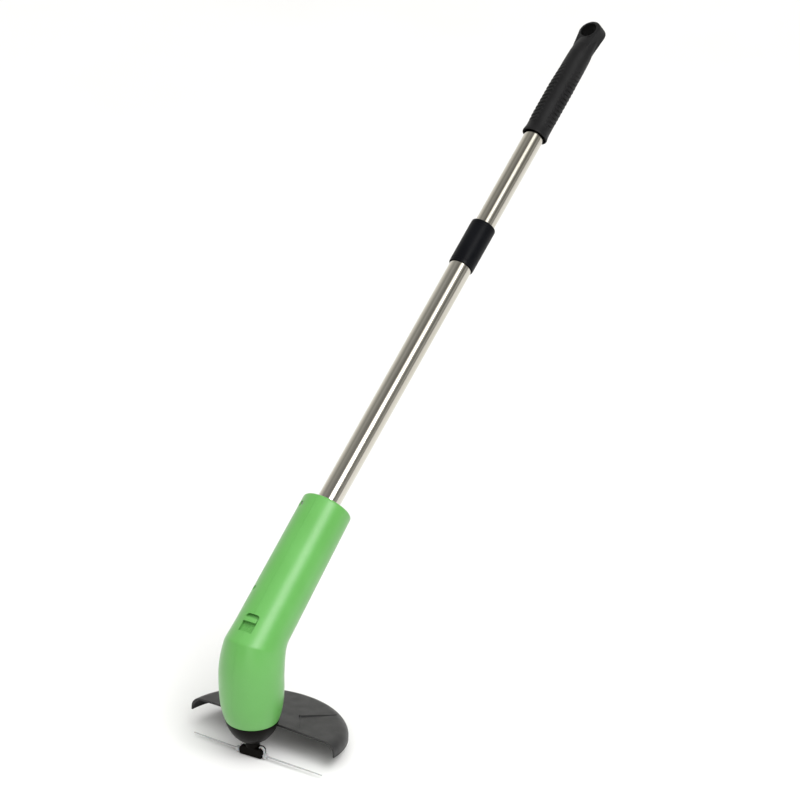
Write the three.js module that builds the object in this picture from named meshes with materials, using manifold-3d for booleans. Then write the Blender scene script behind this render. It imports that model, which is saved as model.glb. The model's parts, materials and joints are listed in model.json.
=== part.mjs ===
// Battery string trimmer with nylon ties as cutting lines, on a telescoping steel pole.
// Millimetres, +Z up. The origin is the centre of the tie hub's bottom face, on the motor's axis.
// The symmetry plane of the housing is X = 0, and the pole leans back towards +Y.
import * as THREE from 'three';
import { mergeVertices } from 'three/addons/utils/BufferGeometryUtils.js';
import Module from 'manifold-3d';

const wasm = await Module();
wasm.setup();

// ---- Driving dimensions ----
const GAP = 0.3;                    // clearance between pieces that touch
const WALL = 2.2;                   // housing wall
const BODY_TILT = THREE.MathUtils.degToRad(53);
const BEND_HEIGHT = 121.7;          // where the upper body's axis crosses the motor's axis
const BODY_LENGTH = 176;            // from that crossing to the upper body's rim
const CROWN = 5;                    // the domed end rises this far above the rim
const MOUTH_HEIGHT = 44;            // lower edge of the housing
const MOUTH_RADIUS = 28;
const BARREL_RADIUS = 33.9;
const BARREL_WIDEST = 94;           // height of the widest ring
const NECK_RADIUS = 29.2;           // upper body just above the bend
const TOP_RADIUS = 27.2;
const BROW = 2.2;                   // the front stands this much prouder at the crease
const INNER_BEND = 60;              // from the upper and lower axes to the bend's centre
const CREASE_TILT = THREE.MathUtils.degToRad(31.5);

const POLE_TILT = THREE.MathUtils.degToRad(55.7);
const POLE_HEIGHT = 136;            // where the pole's axis crosses the motor's axis
const LOWER_TUBE = { radius: 12.5, wall: 0.8, start: 129, end: 515 };
const UPPER_TUBE = { radius: 11, wall: 0.8, start: 300, end: 758 };
const COLLAR = { radius: 14.1, start: 476.1, end: 531.1 };
const GRIP = { start: 653, twist: THREE.MathUtils.degToRad(-14) };
const EYE = { centre: 795.5, width: 28, length: 25, thickness: 14.5, holeLength: 19, holeWidth: 21 };

const CELL = { radius: 7.2, length: 50.5, pitch: 15, depth: 12 };
const TRAY = { start: 26, end: 134 };
const DOOR = { start: 30.5, end: 137.5, halfWidth: 17, nearY: 6 };

const CAP = { low: 18, high: 43.7, lowRadius: 9, highRadius: 28.3, wall: 2 };
// The guard's own frame: its centre lies behind the motor's axis, and its plate drops towards the back.
const GUARD = { radius: 90.5, centreY: 17.4, centreZ: 32.7, tilt: THREE.MathUtils.degToRad(7) };
const DISH = { crown: 1.1, shoulder: 12, depth: 16.4, wall: 2.2, chord: 1.3 };
const BRACKET = { halfWidth: 10.5, low: 23, high: 31, back: 28 };
const HUB = { halfLength: 13, halfWidth: 5.5, height: 10, slot: 8.5 };
const SHAFT_RADIUS = 1.15;
const MOTOR = { radius: 12.2, low: 51.5, high: 82, wall: 0.8 };
// Each tail leans across the hub's line by its sweep at the tip.
const TIE = { width: 2.5, thickness: 1.1, rightTip: 87, rightSweep: -4, leftTip: 73, leftSweep: 4.8 };
const REST_TURN = THREE.MathUtils.degToRad(4);   // the hub's turn at rest

const ROUND = 24;                   // sides of a large round piece
const SMALL = 12;                   // sides of a small round piece

// ---- Materials ----
const finish = (color, roughness, metalness) =>
  new THREE.MeshStandardMaterial({ color, roughness, metalness, flatShading: true });
const green = () => finish(0x6fbf6a, 0.4, 0);
const black = () => finish(0x1c1c1e, 0.5, 0);
const steel = () => finish(0xb8b4aa, 0.25, 1);
const zinc = () => finish(0x8f9194, 0.4, 1);
const nickel = () => finish(0xc9c6bd, 0.3, 1);
const nylon = () => finish(0xe8eaec, 0.5, 0);

// ---- Solids ----
function signedVolume(positions, corners) {
  const [a, b, c] = [new THREE.Vector3(), new THREE.Vector3(), new THREE.Vector3()];
  let volume = 0;
  for (let i = 0; i < corners.length; i += 3) {
    a.fromArray(positions, corners[i] * 3);
    b.fromArray(positions, corners[i + 1] * 3);
    c.fromArray(positions, corners[i + 2] * 3);
    volume += a.dot(b.cross(c)) / 6;
  }
  return volume;
}

function solid(geometry) {
  const bare = geometry.clone();
  bare.deleteAttribute('normal');
  bare.deleteAttribute('uv');
  const merged = mergeVertices(bare, 1e-4);
  const vertProperties = merged.attributes.position.array;
  const corners = [];
  for (let i = 0; i < merged.index.count; i += 3) {
    const [a, b, c] = [0, 1, 2].map((step) => merged.index.getX(i + step));
    if (a !== b && b !== c && c !== a) {
      corners.push(a, b, c);
    }
  }
  if (signedVolume(vertProperties, corners) < 0) {
    corners.reverse();
  }
  const mesh = new wasm.Mesh({ numProp: 3, vertProperties, triVerts: Uint32Array.from(corners) });
  return new wasm.Manifold(mesh);
}

function piece(name, shape, material) {
  const mesh = shape.getMesh();
  const geometry = new THREE.BufferGeometry();
  geometry.setAttribute('position', new THREE.BufferAttribute(mesh.vertProperties, 3));
  geometry.setIndex(new THREE.BufferAttribute(mesh.triVerts, 1));
  geometry.computeVertexNormals();
  const result = new THREE.Mesh(geometry, material);
  result.name = name;
  return result;
}

// A solid of revolution about Z. Outline points are [radius, height].
function turnedGeometry(outline, sides = ROUND) {
  const points = outline.map(([radius, height]) => new THREE.Vector2(radius, height));
  return new THREE.LatheGeometry(points, sides).rotateX(Math.PI / 2);
}

const turned = (outline, sides) => solid(turnedGeometry(outline, sides));

const rodOutline = (radius, low, high) => [[0, low], [radius, low], [radius, high], [0, high]];

const rod = (radius, low, high, sides) => turned(rodOutline(radius, low, high), sides);

const ring = (inner, outer, low, high, sides) =>
  turned([[inner, low], [outer, low], [outer, high], [inner, high], [inner, low]], sides);

// A rod along X from one x to another, at a given y and z.
const crossRod = (radius, fromX, toX, y, z, sides = SMALL) =>
  solid(turnedGeometry(rodOutline(radius, fromX, toX), sides).rotateY(Math.PI / 2).translate(0, y, z));

function box([x0, x1], [y0, y1], [z0, z1]) {
  const geometry = new THREE.BoxGeometry(x1 - x0, y1 - y0, z1 - z0);
  return solid(geometry.translate((x0 + x1) / 2, (y0 + y1) / 2, (z0 + z1) / 2));
}

// An outline of [x, z] points made thick along Y.
function slab(outline, fromY, toY) {
  const shape = new THREE.Shape(outline.map(([x, z]) => new THREE.Vector2(x, z)));
  const geometry = new THREE.ExtrudeGeometry(shape, { depth: toY - fromY, bevelEnabled: false });
  return solid(geometry.rotateX(Math.PI / 2).translate(0, toY, 0));
}

// A round wire or strap along a list of points.
function alongPath(points, section, steps) {
  const path = new THREE.CatmullRomCurve3(points.map((point) => new THREE.Vector3(...point)));
  return solid(new THREE.ExtrudeGeometry(section, { extrudePath: path, steps, bevelEnabled: false }));
}

function roundSection(radius, sides) {
  const shape = new THREE.Shape();
  shape.absarc(0, 0, radius, 0, 2 * Math.PI, false);
  return new THREE.Shape(shape.getPoints(sides / 2).slice(0, -1));
}

// ---- Frames: local +Z runs up the body or the pole, local +Y is the back ----
function tiltedFrame(height, tilt) {
  const frame = new THREE.Group();
  frame.position.z = height;
  frame.rotation.x = -tilt;
  frame.updateMatrix();
  return frame;
}

const upperBody = tiltedFrame(BEND_HEIGHT, BODY_TILT);
const pole = tiltedFrame(POLE_HEIGHT, POLE_TILT);
const gripFrame = new THREE.Group();
gripFrame.rotation.z = GRIP.twist;
pole.add(gripFrame);

// Moves a solid that was made in a tilted frame into the object's frame.
const fromFrame = (shape, frame) => shape.transform(frame.matrix.toArray());

// ---- Housing outline ----
const bendStart = BEND_HEIGHT - INNER_BEND * Math.tan(BODY_TILT / 2);
const bendEnd = INNER_BEND * Math.tan(BODY_TILT / 2);

// Radius of the upper body; its front swells towards the crease.
function upperRadius(distance) {
  const along = (distance - bendEnd) / (BODY_LENGTH - bendEnd);
  if (along > 0) {
    return THREE.MathUtils.lerp(NECK_RADIUS, TOP_RADIUS, along);
  }
  return NECK_RADIUS + BROW * ((bendEnd - distance) / (bendEnd + 12)) ** 2;
}

// Solves reach = start + rate * radius(reach) for a ray that meets a curved front.
function meet(start, rate, radius) {
  let value = start;
  for (let pass = 0; pass < 30; pass += 1) {
    value = start + rate * (INNER_BEND + radius(value));
  }
  return value;
}

const upperFront = (tilt) => meet(bendEnd, -Math.tan(BODY_TILT - tilt), upperRadius);
const creaseReach = (INNER_BEND + upperRadius(upperFront(CREASE_TILT))) / Math.cos(BODY_TILT - CREASE_TILT);
const creaseHeight = bendStart + creaseReach * Math.sin(CREASE_TILT);
const creaseFront = creaseReach * Math.cos(CREASE_TILT) - INNER_BEND;

function barrelRadius(height) {
  const drop = Math.max(0, (BARREL_WIDEST - height) / (BARREL_WIDEST - MOUTH_HEIGHT));
  return BARREL_RADIUS - (BARREL_RADIUS - MOUTH_RADIUS) * drop ** 3.2;
}

// The barrel's front draws in above its widest ring, to meet the upper body at the crease.
function barrelFront(height) {
  const rise = Math.max(0, (height - BARREL_WIDEST) / (creaseHeight - BARREL_WIDEST));
  return barrelRadius(height) - (BARREL_RADIUS - creaseFront) * rise ** 2;
}

// One ring of the skin: its centre, tilt and reach to the side, the back and the front.
function straightRing(y, z, tilt, radius) {
  return { y, z, tilt, side: radius, back: radius, front: radius };
}

function upperRing(distance, radius) {
  const y = distance * Math.sin(BODY_TILT);
  const z = BEND_HEIGHT + distance * Math.cos(BODY_TILT);
  return straightRing(y, z, BODY_TILT, radius);
}

// In the bend the back follows an arc, and the front runs straight on to a crease.
function bendRing(tilt, inset) {
  const y = INNER_BEND * (1 - Math.cos(tilt));
  const z = bendStart + INNER_BEND * Math.sin(tilt);
  const blend = THREE.MathUtils.smoothstep(tilt, 0, BODY_TILT) ** 1.6;
  const side = THREE.MathUtils.lerp(barrelRadius(bendStart), NECK_RADIUS, blend) - inset;
  const below = tilt <= CREASE_TILT;
  const turn = below ? tilt : BODY_TILT - tilt;
  const radius = below
    ? barrelFront(meet(bendStart, Math.tan(tilt), barrelFront))
    : upperRadius(upperFront(tilt));
  const front = (INNER_BEND + radius - inset) / Math.cos(turn) - INNER_BEND;
  return { y, z, tilt, side, back: side, front };
}

function housingRings(inset) {
  const rings = [];
  const low = inset > 0 ? MOUTH_HEIGHT - 1 : MOUTH_HEIGHT;
  for (const height of [low, 49, 56, 66, 78]) {
    rings.push(straightRing(0, height, 0, barrelRadius(height) - inset));
  }
  for (const share of [0, 0.25, 0.5, 0.8, 1]) {
    rings.push(bendRing(CREASE_TILT * share, inset));
  }
  for (const share of [0.25, 0.6, 1]) {
    rings.push(bendRing(THREE.MathUtils.lerp(CREASE_TILT, BODY_TILT, share), inset));
  }
  for (const distance of [70, 120]) {
    rings.push(upperRing(distance, upperRadius(distance) - inset));
  }
  if (inset > 0) {
    const ceiling = BODY_LENGTH - WALL;
    rings.push(upperRing(ceiling, upperRadius(ceiling) - inset));
    return rings;
  }
  const edge = 2.6;
  for (const turn of [0, Math.PI / 4, Math.PI / 2]) {
    const distance = BODY_LENGTH - edge + edge * Math.sin(turn);
    rings.push(upperRing(distance, upperRadius(distance) - edge * (1 - Math.cos(turn))));
  }
  const rim = TOP_RADIUS - edge;
  for (const share of [0.7, 0.45]) {
    rings.push(upperRing(BODY_LENGTH + CROWN * (1 - share ** 2), rim * share));
  }
  return rings;
}

// A closed skin through the rings: a cylinder whose rows are laid on them.
function skinThrough(rings, sides) {
  const rows = rings.length - 1;
  const geometry = new THREE.CylinderGeometry(1, 1, rows, sides, rows);
  const points = geometry.attributes.position;
  for (let i = 0; i < points.count; i += 1) {
    const { y, z, tilt, side, back, front } = rings[Math.round(points.getY(i) + rows / 2)];
    const reach = points.getZ(i) * (points.getZ(i) > 0 ? back : front);
    points.setXYZ(i, points.getX(i) * side, y + reach * Math.cos(tilt), z - reach * Math.sin(tilt));
  }
  return solid(geometry);
}

// ---- Housing ----
const SCREW = { shank: 1.4, head: 2.6, headHeight: 1.8, headX: -14, tipX: 13, bore: 1.75, recess: 3 };
const HOUSING_SCREWS = [
  { frame: upperBody, y: -20.5, z: 162.5 },
  { frame: upperBody, y: -20.5, z: 59.5 },
  { frame: null, y: 21, z: 106 },
  { frame: null, y: 22, z: 62 },
];
const SWITCH = { low: 8.5, high: 29.5, halfWidth: 8, travel: 10, plateY: -25.1, plateBack: -23.5 };

const inHousing = (shape, frame) => (frame ? fromFrame(shape, frame) : shape);

function screwBoss({ frame, y, z }) {
  return inHousing(crossRod(4.3, -40, 40, y, z), frame);
}

function screwHole({ frame, y, z }) {
  const bore = crossRod(SCREW.bore, SCREW.headX - 1, SCREW.tipX + 2, y, z, 12);
  const recess = crossRod(SCREW.recess, -40, SCREW.headX, y, z);
  return inHousing(bore.add(recess), frame);
}

function housingScrew({ y, z }) {
  const shank = crossRod(SCREW.shank, SCREW.headX - 0.5, SCREW.tipX, y, z, 8);
  return shank.add(crossRod(SCREW.head, SCREW.headX - SCREW.headHeight, SCREW.headX - GAP, y, z, 12));
}

function switchWindow() {
  const { low, high, halfWidth } = SWITCH;
  return fromFrame(box([-halfWidth, halfWidth], [-45, -20], [low, high]), upperBody);
}

// The wall is thicker round the switch's window, so that the slider's plate runs on a flat.
function switchFrame() {
  const { low, high, halfWidth, plateY } = SWITCH;
  const rim = 1.2;
  const across = [-halfWidth - rim, halfWidth + rim];
  return fromFrame(box(across, [-45, plateY - GAP], [low - rim, high + rim]), upperBody);
}

function doorCutter(margin) {
  const { start, end, halfWidth, nearY } = DOOR;
  const across = [-halfWidth + margin, halfWidth - margin];
  return fromFrame(box(across, [nearY, 60], [start + margin, end - margin]), upperBody);
}

const HOUSING_SIDES = 32;
const skin = skinThrough(housingRings(0), HOUSING_SIDES);
const hollow = skinThrough(housingRings(WALL), HOUSING_SIDES);
const poleClearance = fromFrame(rod(LOWER_TUBE.radius + GAP + 0.1, LOWER_TUBE.start - 2, 190), pole);

function housingShell() {
  let shell = skin.subtract(hollow).add(switchFrame().intersect(skin));
  for (const screw of HOUSING_SCREWS) {
    shell = shell.add(screwBoss(screw).intersect(skin));
  }
  for (const screw of HOUSING_SCREWS) {
    shell = shell.subtract(screwHole(screw));
  }
  return shell.subtract(poleClearance).subtract(switchWindow()).subtract(doorCutter(0));
}

function addHousing(body) {
  const shell = housingShell();
  const left = box([-60, -GAP / 2], [-60, 260], [0, 300]);
  const right = box([GAP / 2, 60], [-60, 260], [0, 300]);
  body.add(piece('left_housing_shell', shell.intersect(left), green()));
  body.add(piece('right_housing_shell', shell.intersect(right), green()));
  HOUSING_SCREWS.forEach((screw, index) => {
    const parent = screw.frame ?? body;
    parent.add(piece(`housing_screw_${index + 1}`, housingScrew(screw), zinc()));
  });
}

function addBatteryDoor(body) {
  const door = skin.subtract(hollow).intersect(doorCutter(0.35));
  body.add(piece('battery_door', door, green()));
}

// ---- Batteries, in the upper body's frame ----
function batteryTray() {
  const half = 15.2;
  const floor = box([-half, half], [2, 4], [TRAY.start, TRAY.end]);
  const lowEnd = box([-half, half], [2, 17.5], [TRAY.start - 1.4, TRAY.start]);
  const highEnd = box([-half, half], [2, 17.5], [TRAY.end, TRAY.end + 1.4]);
  const divider = box([-0.2, 0.2], [2, 9], [TRAY.start + 8, TRAY.end - 8]);
  return floor.add(lowEnd).add(highEnd).add(divider);
}

// A cell with its raised button at the high end.
function cell() {
  const { radius, length } = CELL;
  const outline = [
    [0, 0], [radius - 0.6, 0], [radius, 0.6], [radius, length - 1.6], [radius - 0.6, length - 1],
    [2.7, length - 1], [2.7, length], [0, length],
  ];
  return turned(outline, SMALL);
}

function contactSpring() {
  const turns = 3;
  const height = 3.4;
  const points = [];
  for (let step = 0; step <= turns * 8; step += 1) {
    const angle = (step / 8) * 2 * Math.PI;
    const along = step / (turns * 8);
    const radius = THREE.MathUtils.lerp(4.6, 2.6, along);
    points.push([radius * Math.cos(angle), radius * Math.sin(angle), 0.3 + height * along]);
  }
  return alongPath(points, roundSection(0.3, 4), 30);
}

function addBatteries() {
  const { pitch, depth, length } = CELL;
  const plate = 0.4;
  const lowPlate = TRAY.start + GAP;
  const highPlate = TRAY.end - GAP - plate;
  const spring = 4.1;
  upperBody.add(piece('battery_tray', batteryTray(), black()));
  const columns = [
    { x: -pitch / 2, start: lowPlate + plate + spring, turned: false },
    { x: pitch / 2, start: lowPlate + plate + GAP, turned: true },
  ];
  columns.forEach(({ x, start, turned: flipped }, column) => {
    for (let row = 0; row < 2; row += 1) {
      const mesh = piece(`battery_cell_${column * 2 + row + 1}`, cell(), black());
      mesh.rotation.x = flipped ? Math.PI : 0;
      const base = start + row * (length + GAP);
      mesh.position.set(x, depth, flipped ? base + length : base);
      upperBody.add(mesh);
    }
  });
  const tall = [6.5, 17];
  const onePlate = (x) => box([x - 6, x + 6], tall, [lowPlate, lowPlate + plate]);
  upperBody.add(piece('negative_contact', onePlate(-pitch / 2), nickel()));
  upperBody.add(piece('positive_contact', onePlate(pitch / 2), nickel()));
  const bridge = box([-pitch / 2 - 6, pitch / 2 + 6], tall, [highPlate, highPlate + plate]);
  upperBody.add(piece('bridge_contact', bridge, nickel()));
  const lowSpring = piece('negative_spring', contactSpring(), nickel());
  lowSpring.position.set(-pitch / 2, depth, lowPlate + plate);
  const highSpring = piece('bridge_spring', contactSpring(), nickel());
  highSpring.rotation.x = Math.PI;
  highSpring.position.set(pitch / 2, depth, highPlate);
  upperBody.add(lowSpring, highSpring);
}

// ---- Slide switch, in the upper body's frame ----
// The slider's plate lies behind the window and covers it at both ends of the travel.
function switchSlider() {
  const { low, high, halfWidth, travel, plateY, plateBack } = SWITCH;
  const half = halfWidth + 0.7;
  const plate = box([-half, half], [plateY, plateBack], [low - 1, high + travel + 1]);
  const bar = box([-halfWidth + 0.4, halfWidth - 0.4], [-30.4, plateY + 0.5], [20, 26.5]);
  const stem = box([-2.5, 2.5], [plateBack - 0.5, plateBack + 3], [22, 25]);
  return plate.add(bar).add(stem);
}

function switchBody() {
  const top = SWITCH.plateBack + GAP;
  const can = box([-6, 6], [top, top + 8], [7, 31]);
  return can.subtract(box([-3.4, 3.4], [top - 1, top + 3.4], [10, 27]));
}

// ---- Motor ----
const AXIAL_SCREWS = [-8, 8];

function withScrewHoles(shape) {
  const holes = AXIAL_SCREWS.map((x) => rod(1.5, 40, 60, 8).translate(x, 0, 0));
  return shape.subtract(holes[0]).subtract(holes[1]);
}

function motorMount() {
  return withScrewHoles(ring(4, 26.4, 48.2, 51.2));
}

function motorCan() {
  const { radius, low, high, wall } = MOTOR;
  const outline = [
    [2.9, low], [radius - 1, low], [radius, low + 1], [radius, high], [radius - wall, high],
    [radius - wall, low + 1.2], [2.9, low + 1.2], [2.9, low],
  ];
  return withScrewHoles(turned(outline));
}

function motorEndBell() {
  const { radius, high, wall } = MOTOR;
  const plug = radius - wall - GAP;
  const outline = [
    [1.5, high - 2], [plug, high - 2], [plug, high + GAP], [radius, high + GAP], [radius, high + 2],
    [5, high + 2], [4, high + 3.6], [1.5, high + 3.6], [1.5, high - 2],
  ];
  return turned(outline);
}

function motorMagnet(centreAngle) {
  const spread = Math.PI * 0.36;
  const shape = new THREE.Shape();
  shape.absarc(0, 0, 11.1, centreAngle - spread, centreAngle + spread, false);
  shape.absarc(0, 0, 8.9, centreAngle + spread, centreAngle - spread, true);
  return solid(new THREE.ExtrudeGeometry(shape, { depth: 20, bevelEnabled: false, curveSegments: 8 }).translate(0, 0, 56));
}

function motorArmature() {
  let core = ring(SHAFT_RADIUS + GAP, 8.4, 57, 75, 30);
  for (let pole = 0; pole < 3; pole += 1) {
    const slot = box([3.6, 9], [-0.9, 0.9], [50, 80]).add(box([3.6, 7], [-3, 3], [50, 80]));
    core = core.subtract(slot.rotate([0, 0, pole * 120]));
  }
  return core;
}

function addMotor(body) {
  body.add(piece('motor_mount', motorMount(), black()));
  body.add(piece('motor_can', motorCan(), zinc()));
  body.add(piece('motor_end_bell', motorEndBell(), black()));
  body.add(piece('motor_magnet_left', motorMagnet(Math.PI), black()));
  body.add(piece('motor_magnet_right', motorMagnet(0), black()));
  AXIAL_SCREWS.forEach((x, index) => {
    const screw = rod(1.2, 46.2, 55, 8).add(rod(2.4, 46.2, 47.9, 12)).translate(x, 0, 0);
    body.add(piece(`motor_screw_${index + 1}`, screw, zinc()));
  });
}

function addSpindle(body) {
  body.add(piece('motor_shaft', rod(SHAFT_RADIUS, 2.5, 86.5, 12), steel()));
  body.add(piece('motor_armature', motorArmature(), zinc()));
  body.add(piece('motor_commutator', ring(SHAFT_RADIUS + GAP, 2.8, 75.4, 79, 12), nickel()));
  body.add(piece('hub_bush', ring(SHAFT_RADIUS + GAP, 7.5, HUB.height + GAP, 17.2, 24), black()));
}

// ---- Nose cap and guard ----
function capOutline(margin) {
  const { low, high, lowRadius, highRadius } = CAP;
  const side = new THREE.CubicBezierCurve(
    new THREE.Vector2(lowRadius + margin, low), new THREE.Vector2(18 + margin, 20),
    new THREE.Vector2(26.5 + margin, 33.5), new THREE.Vector2(highRadius + margin, high),
  );
  return side.getPoints(6).map((point) => [point.x, point.y]);
}

const GUARD_SCREWS = [-6, 6];
const GUARD_SCREW_HEIGHT = 26.5;
const alongY = (radius, fromY, toY, x, z, sides = 12) =>
  solid(turnedGeometry(rodOutline(radius, fromY, toY), sides).rotateX(-Math.PI / 2).translate(x, 0, z));

function noseCap() {
  const { low, high, highRadius, wall } = CAP;
  const outside = capOutline(0);
  const inside = capOutline(-wall).reverse().slice(1, -1);
  const spigot = 24.9;
  let cap = turned([
    [2.6, low], ...outside, [highRadius - GAP, high], [spigot, high], [spigot, high + 2.9],
    [spigot - 1.9, high + 2.9], [spigot - 1.9, high - 2], ...inside, [CAP.lowRadius, low + wall],
    [2.6, low + wall], [2.6, low],
  ]);
  for (const x of GUARD_SCREWS) {
    const boss = alongY(3.2, 8, 24, x, GUARD_SCREW_HEIGHT, 10);
    cap = cap.add(boss.intersect(turned([[0, low], ...outside, [0, high]])));
  }
  for (const x of GUARD_SCREWS) {
    cap = cap.subtract(alongY(1.5, 7, 40, x, GUARD_SCREW_HEIGHT, 10));
  }
  return cap;
}

// The guard's section: a slightly crowned plate, a wide round shoulder and a short skirt.
function guardOutline() {
  const { crown, shoulder, depth, wall } = DISH;
  const { radius } = GUARD;
  const edge = radius - shoulder;
  const bend = (size, step) => {
    const turn = (step / 5) * (Math.PI / 2);
    return [edge + size * Math.sin(turn), -crown - shoulder + size * Math.cos(turn)];
  };
  const outer = [0, 1, 2, 3, 4, 5].map((step) => bend(shoulder, step));
  const inner = [5, 4, 3, 2, 1, 0].map((step) => bend(shoulder - wall, step));
  return [[0, 0], ...outer, [radius, -depth], [radius - wall, -depth], ...inner, [0, -wall]];
}

function guardRib(outline) {
  const shape = new THREE.Shape(outline.map(([x, y]) => new THREE.Vector2(x, y)));
  return solid(new THREE.ExtrudeGeometry(shape, { depth: 2, bevelEnabled: false }).translate(0, 0, -1.5));
}

function guard() {
  const { radius, centreY, centreZ, tilt } = GUARD;
  const frame = tiltedFrame(0, tilt);
  frame.position.set(0, centreY, centreZ);
  frame.updateMatrix();
  const front = box([-radius - 5, radius + 5], [DISH.chord, radius + 5], [-40, 10]);
  const dish = turned(guardOutline(), 60).intersect(front);
  const rib = guardRib([[22.8, 34], [25.8, 31.4], [51.2, 62.5], [50, 63.7]]);
  const { halfWidth, low, high, back } = BRACKET;
  const bracket = box([-halfWidth, halfWidth], [12, back], [low, high]);
  const room = turned([[0, CAP.low - 2], ...capOutline(GAP + 0.2), [0, CAP.high]]);
  let shape = fromFrame(dish.add(rib), frame).add(bracket).subtract(room);
  for (const x of GUARD_SCREWS) {
    shape = shape.subtract(alongY(1.5, 10, 50, x, GUARD_SCREW_HEIGHT));
    shape = shape.subtract(alongY(3, back - 2.5, 40, x, GUARD_SCREW_HEIGHT, SMALL));
  }
  return shape;
}

function addNose(body) {
  body.add(piece('nose_cap', noseCap(), black()));
  body.add(piece('guard', guard(), black()));
  GUARD_SCREWS.forEach((x, index) => {
    const shank = alongY(1.2, 9, BRACKET.back - 1.5, x, GUARD_SCREW_HEIGHT, 8);
    const head = alongY(2.6, BRACKET.back - 2.2, BRACKET.back - 0.6, x, GUARD_SCREW_HEIGHT);
    body.add(piece(`guard_screw_${index + 1}`, shank.add(head), zinc()));
  });
}

// ---- Tie hub and cutting ties ----
function tieHub() {
  const { halfLength, halfWidth, height, slot } = HUB;
  const corner = 2.6;
  const outline = [
    [-halfLength, 0], [halfLength, 0], [halfLength, height - corner], [halfLength - corner, height],
    [-halfLength + corner, height], [-halfLength, height - corner],
  ];
  let hub = slab(outline, -halfWidth, halfWidth);
  for (const side of [-1, 1]) {
    const x = side * slot;
    const near = Math.min(x, side * 20);
    const far = Math.max(x, side * 20);
    hub = hub.subtract(box([x - 1, x + 1], [-1.7, 1.7], [-1, 11]));
    hub = hub.subtract(box([near, far], [-1.7, 1.7], [-1, 1.9]));
  }
  return hub.subtract(rod(SHAFT_RADIUS + GAP, 2, 12, 12));
}

// A tie: a loop through the hub's slot, a head beside the hub's end, and a tail out to the tip.
function cuttingTie(tip, sweep) {
  const { width, thickness } = TIE;
  const inner = { x0: HUB.slot + thickness / 2 + 0.1, x1: HUB.halfLength + GAP, z0: 1.5, z1: HUB.height + GAP };
  const half = width / 2;
  const loop = slab([
    [inner.x0 - thickness, inner.z0 - thickness], [inner.x1 + thickness, inner.z0 - thickness],
    [inner.x1 + thickness, inner.z1 - 1.8], [inner.x1 - 1.4, inner.z1 + thickness],
    [inner.x0 - thickness, inner.z1 + thickness],
  ], -half, half).subtract(slab([
    [inner.x0, inner.z0], [inner.x1, inner.z0], [inner.x1, inner.z1 - 2.4],
    [inner.x1 - 2.4, inner.z1], [inner.x0, inner.z1],
  ], -width, width));
  const headX = inner.x1 + thickness - 0.2;
  const head = box([headX, headX + 4.2], [-4.4, half - 0.1], [0.4, 5.2]);
  const tail = new THREE.Shape([
    [headX + 3, -3.8], [tip, sweep - 3.1], [tip, sweep - 2.3], [headX + 3, -1.6],
  ].map(([x, y]) => new THREE.Vector2(x, y)));
  const strap = new THREE.ExtrudeGeometry(tail, { depth: thickness, bevelEnabled: false });
  return loop.add(head).add(solid(strap.translate(0, 0, 3)));
}

function addTies(body) {
  const parts = [
    piece('hub', tieHub(), black()),
    piece('cutting_tie_right', cuttingTie(TIE.rightTip, TIE.rightSweep), nylon()),
    piece('cutting_tie_left', cuttingTie(TIE.leftTip, TIE.leftSweep).mirror([1, 0, 0]), nylon()),
  ];
  for (const part of parts) {
    part.rotation.z = REST_TURN;
    body.add(part);
  }
}

// ---- Pole, in its own frame ----
const TUBE_PIN = 138;

// The socket's flanges reach the housing's inner wall all round.
function tubeSocket() {
  const bore = LOWER_TUBE.radius + GAP;
  const sleeve = 15.2;
  const flange = 34;
  const body = turned([
    [bore, 129], [sleeve, 129], [sleeve, 130], [flange, 130], [flange, 132], [sleeve, 132],
    [sleeve, 146], [flange, 146], [flange, 148], [sleeve, 148], [sleeve, 149.2], [bore, 149.2], [bore, 129],
  ]);
  const room = skinThrough(housingRings(WALL + GAP), HOUSING_SIDES);
  return fromFrame(body.subtract(crossRod(1.8, -20, 20, 0, TUBE_PIN, 8)), pole).intersect(room);
}

function lowerTube() {
  const { radius, wall, start, end } = LOWER_TUBE;
  const tube = ring(radius - wall, radius, start, end, ROUND);
  return tube.subtract(crossRod(1.8, -20, 20, 0, TUBE_PIN, 8));
}

function collar() {
  const { radius, start, end } = COLLAR;
  const bore = LOWER_TUBE.radius + GAP;
  const neck = UPPER_TUBE.radius + GAP;
  const step = LOWER_TUBE.end + GAP;
  const edge = 1.2;
  return turned([
    [bore + 0.7, start], [radius - 0.5, start], [radius, start + edge], [radius, end - edge],
    [radius - edge, end], [neck, end], [neck, step], [bore, step], [bore, start + 6], [bore + 0.7, start],
  ]);
}

function lockCone() {
  const base = UPPER_TUBE.start;
  const plug = UPPER_TUBE.radius - UPPER_TUBE.wall - GAP;
  return turned([
    [0, base - 34], [6.2, base - 34], [6.2, base - 30], [4.2, base - 29], [7, base - 4.5],
    [10.8, base - 4.2], [10.8, base - GAP], [plug, base - GAP], [plug, base + 22], [0, base + 22],
  ], 24);
}

// The split sleeve that the cone spreads against the lower tube's bore.
function lockSleeve() {
  const base = UPPER_TUBE.start;
  const sleeve = turned([
    [4.7, base - 28.4], [11.3, base - 28.4], [11.3, base - 5], [7.45, base - 5], [4.7, base - 28.4],
  ], 24);
  return sleeve.subtract(box([-1.2, 1.2], [0, 15], [base - 40, base]));
}

function gripRings() {
  const at = (z, side, depth) => ({ y: 0, z, tilt: 0, side, back: depth, front: depth });
  const { start } = GRIP;
  return [
    at(start, 14.4, 14.4), at(start + 4, 14.1, 14.1), at(start + 9, 13.5, 13.5), at(start + 62, 13.4, 13.4),
    at(start + 96, 13.2, 13.1), at(start + 112, 13, 12.3), at(start + 123, 12.7, 10.4), at(start + 133, 12.8, 7.7),
  ];
}

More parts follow.
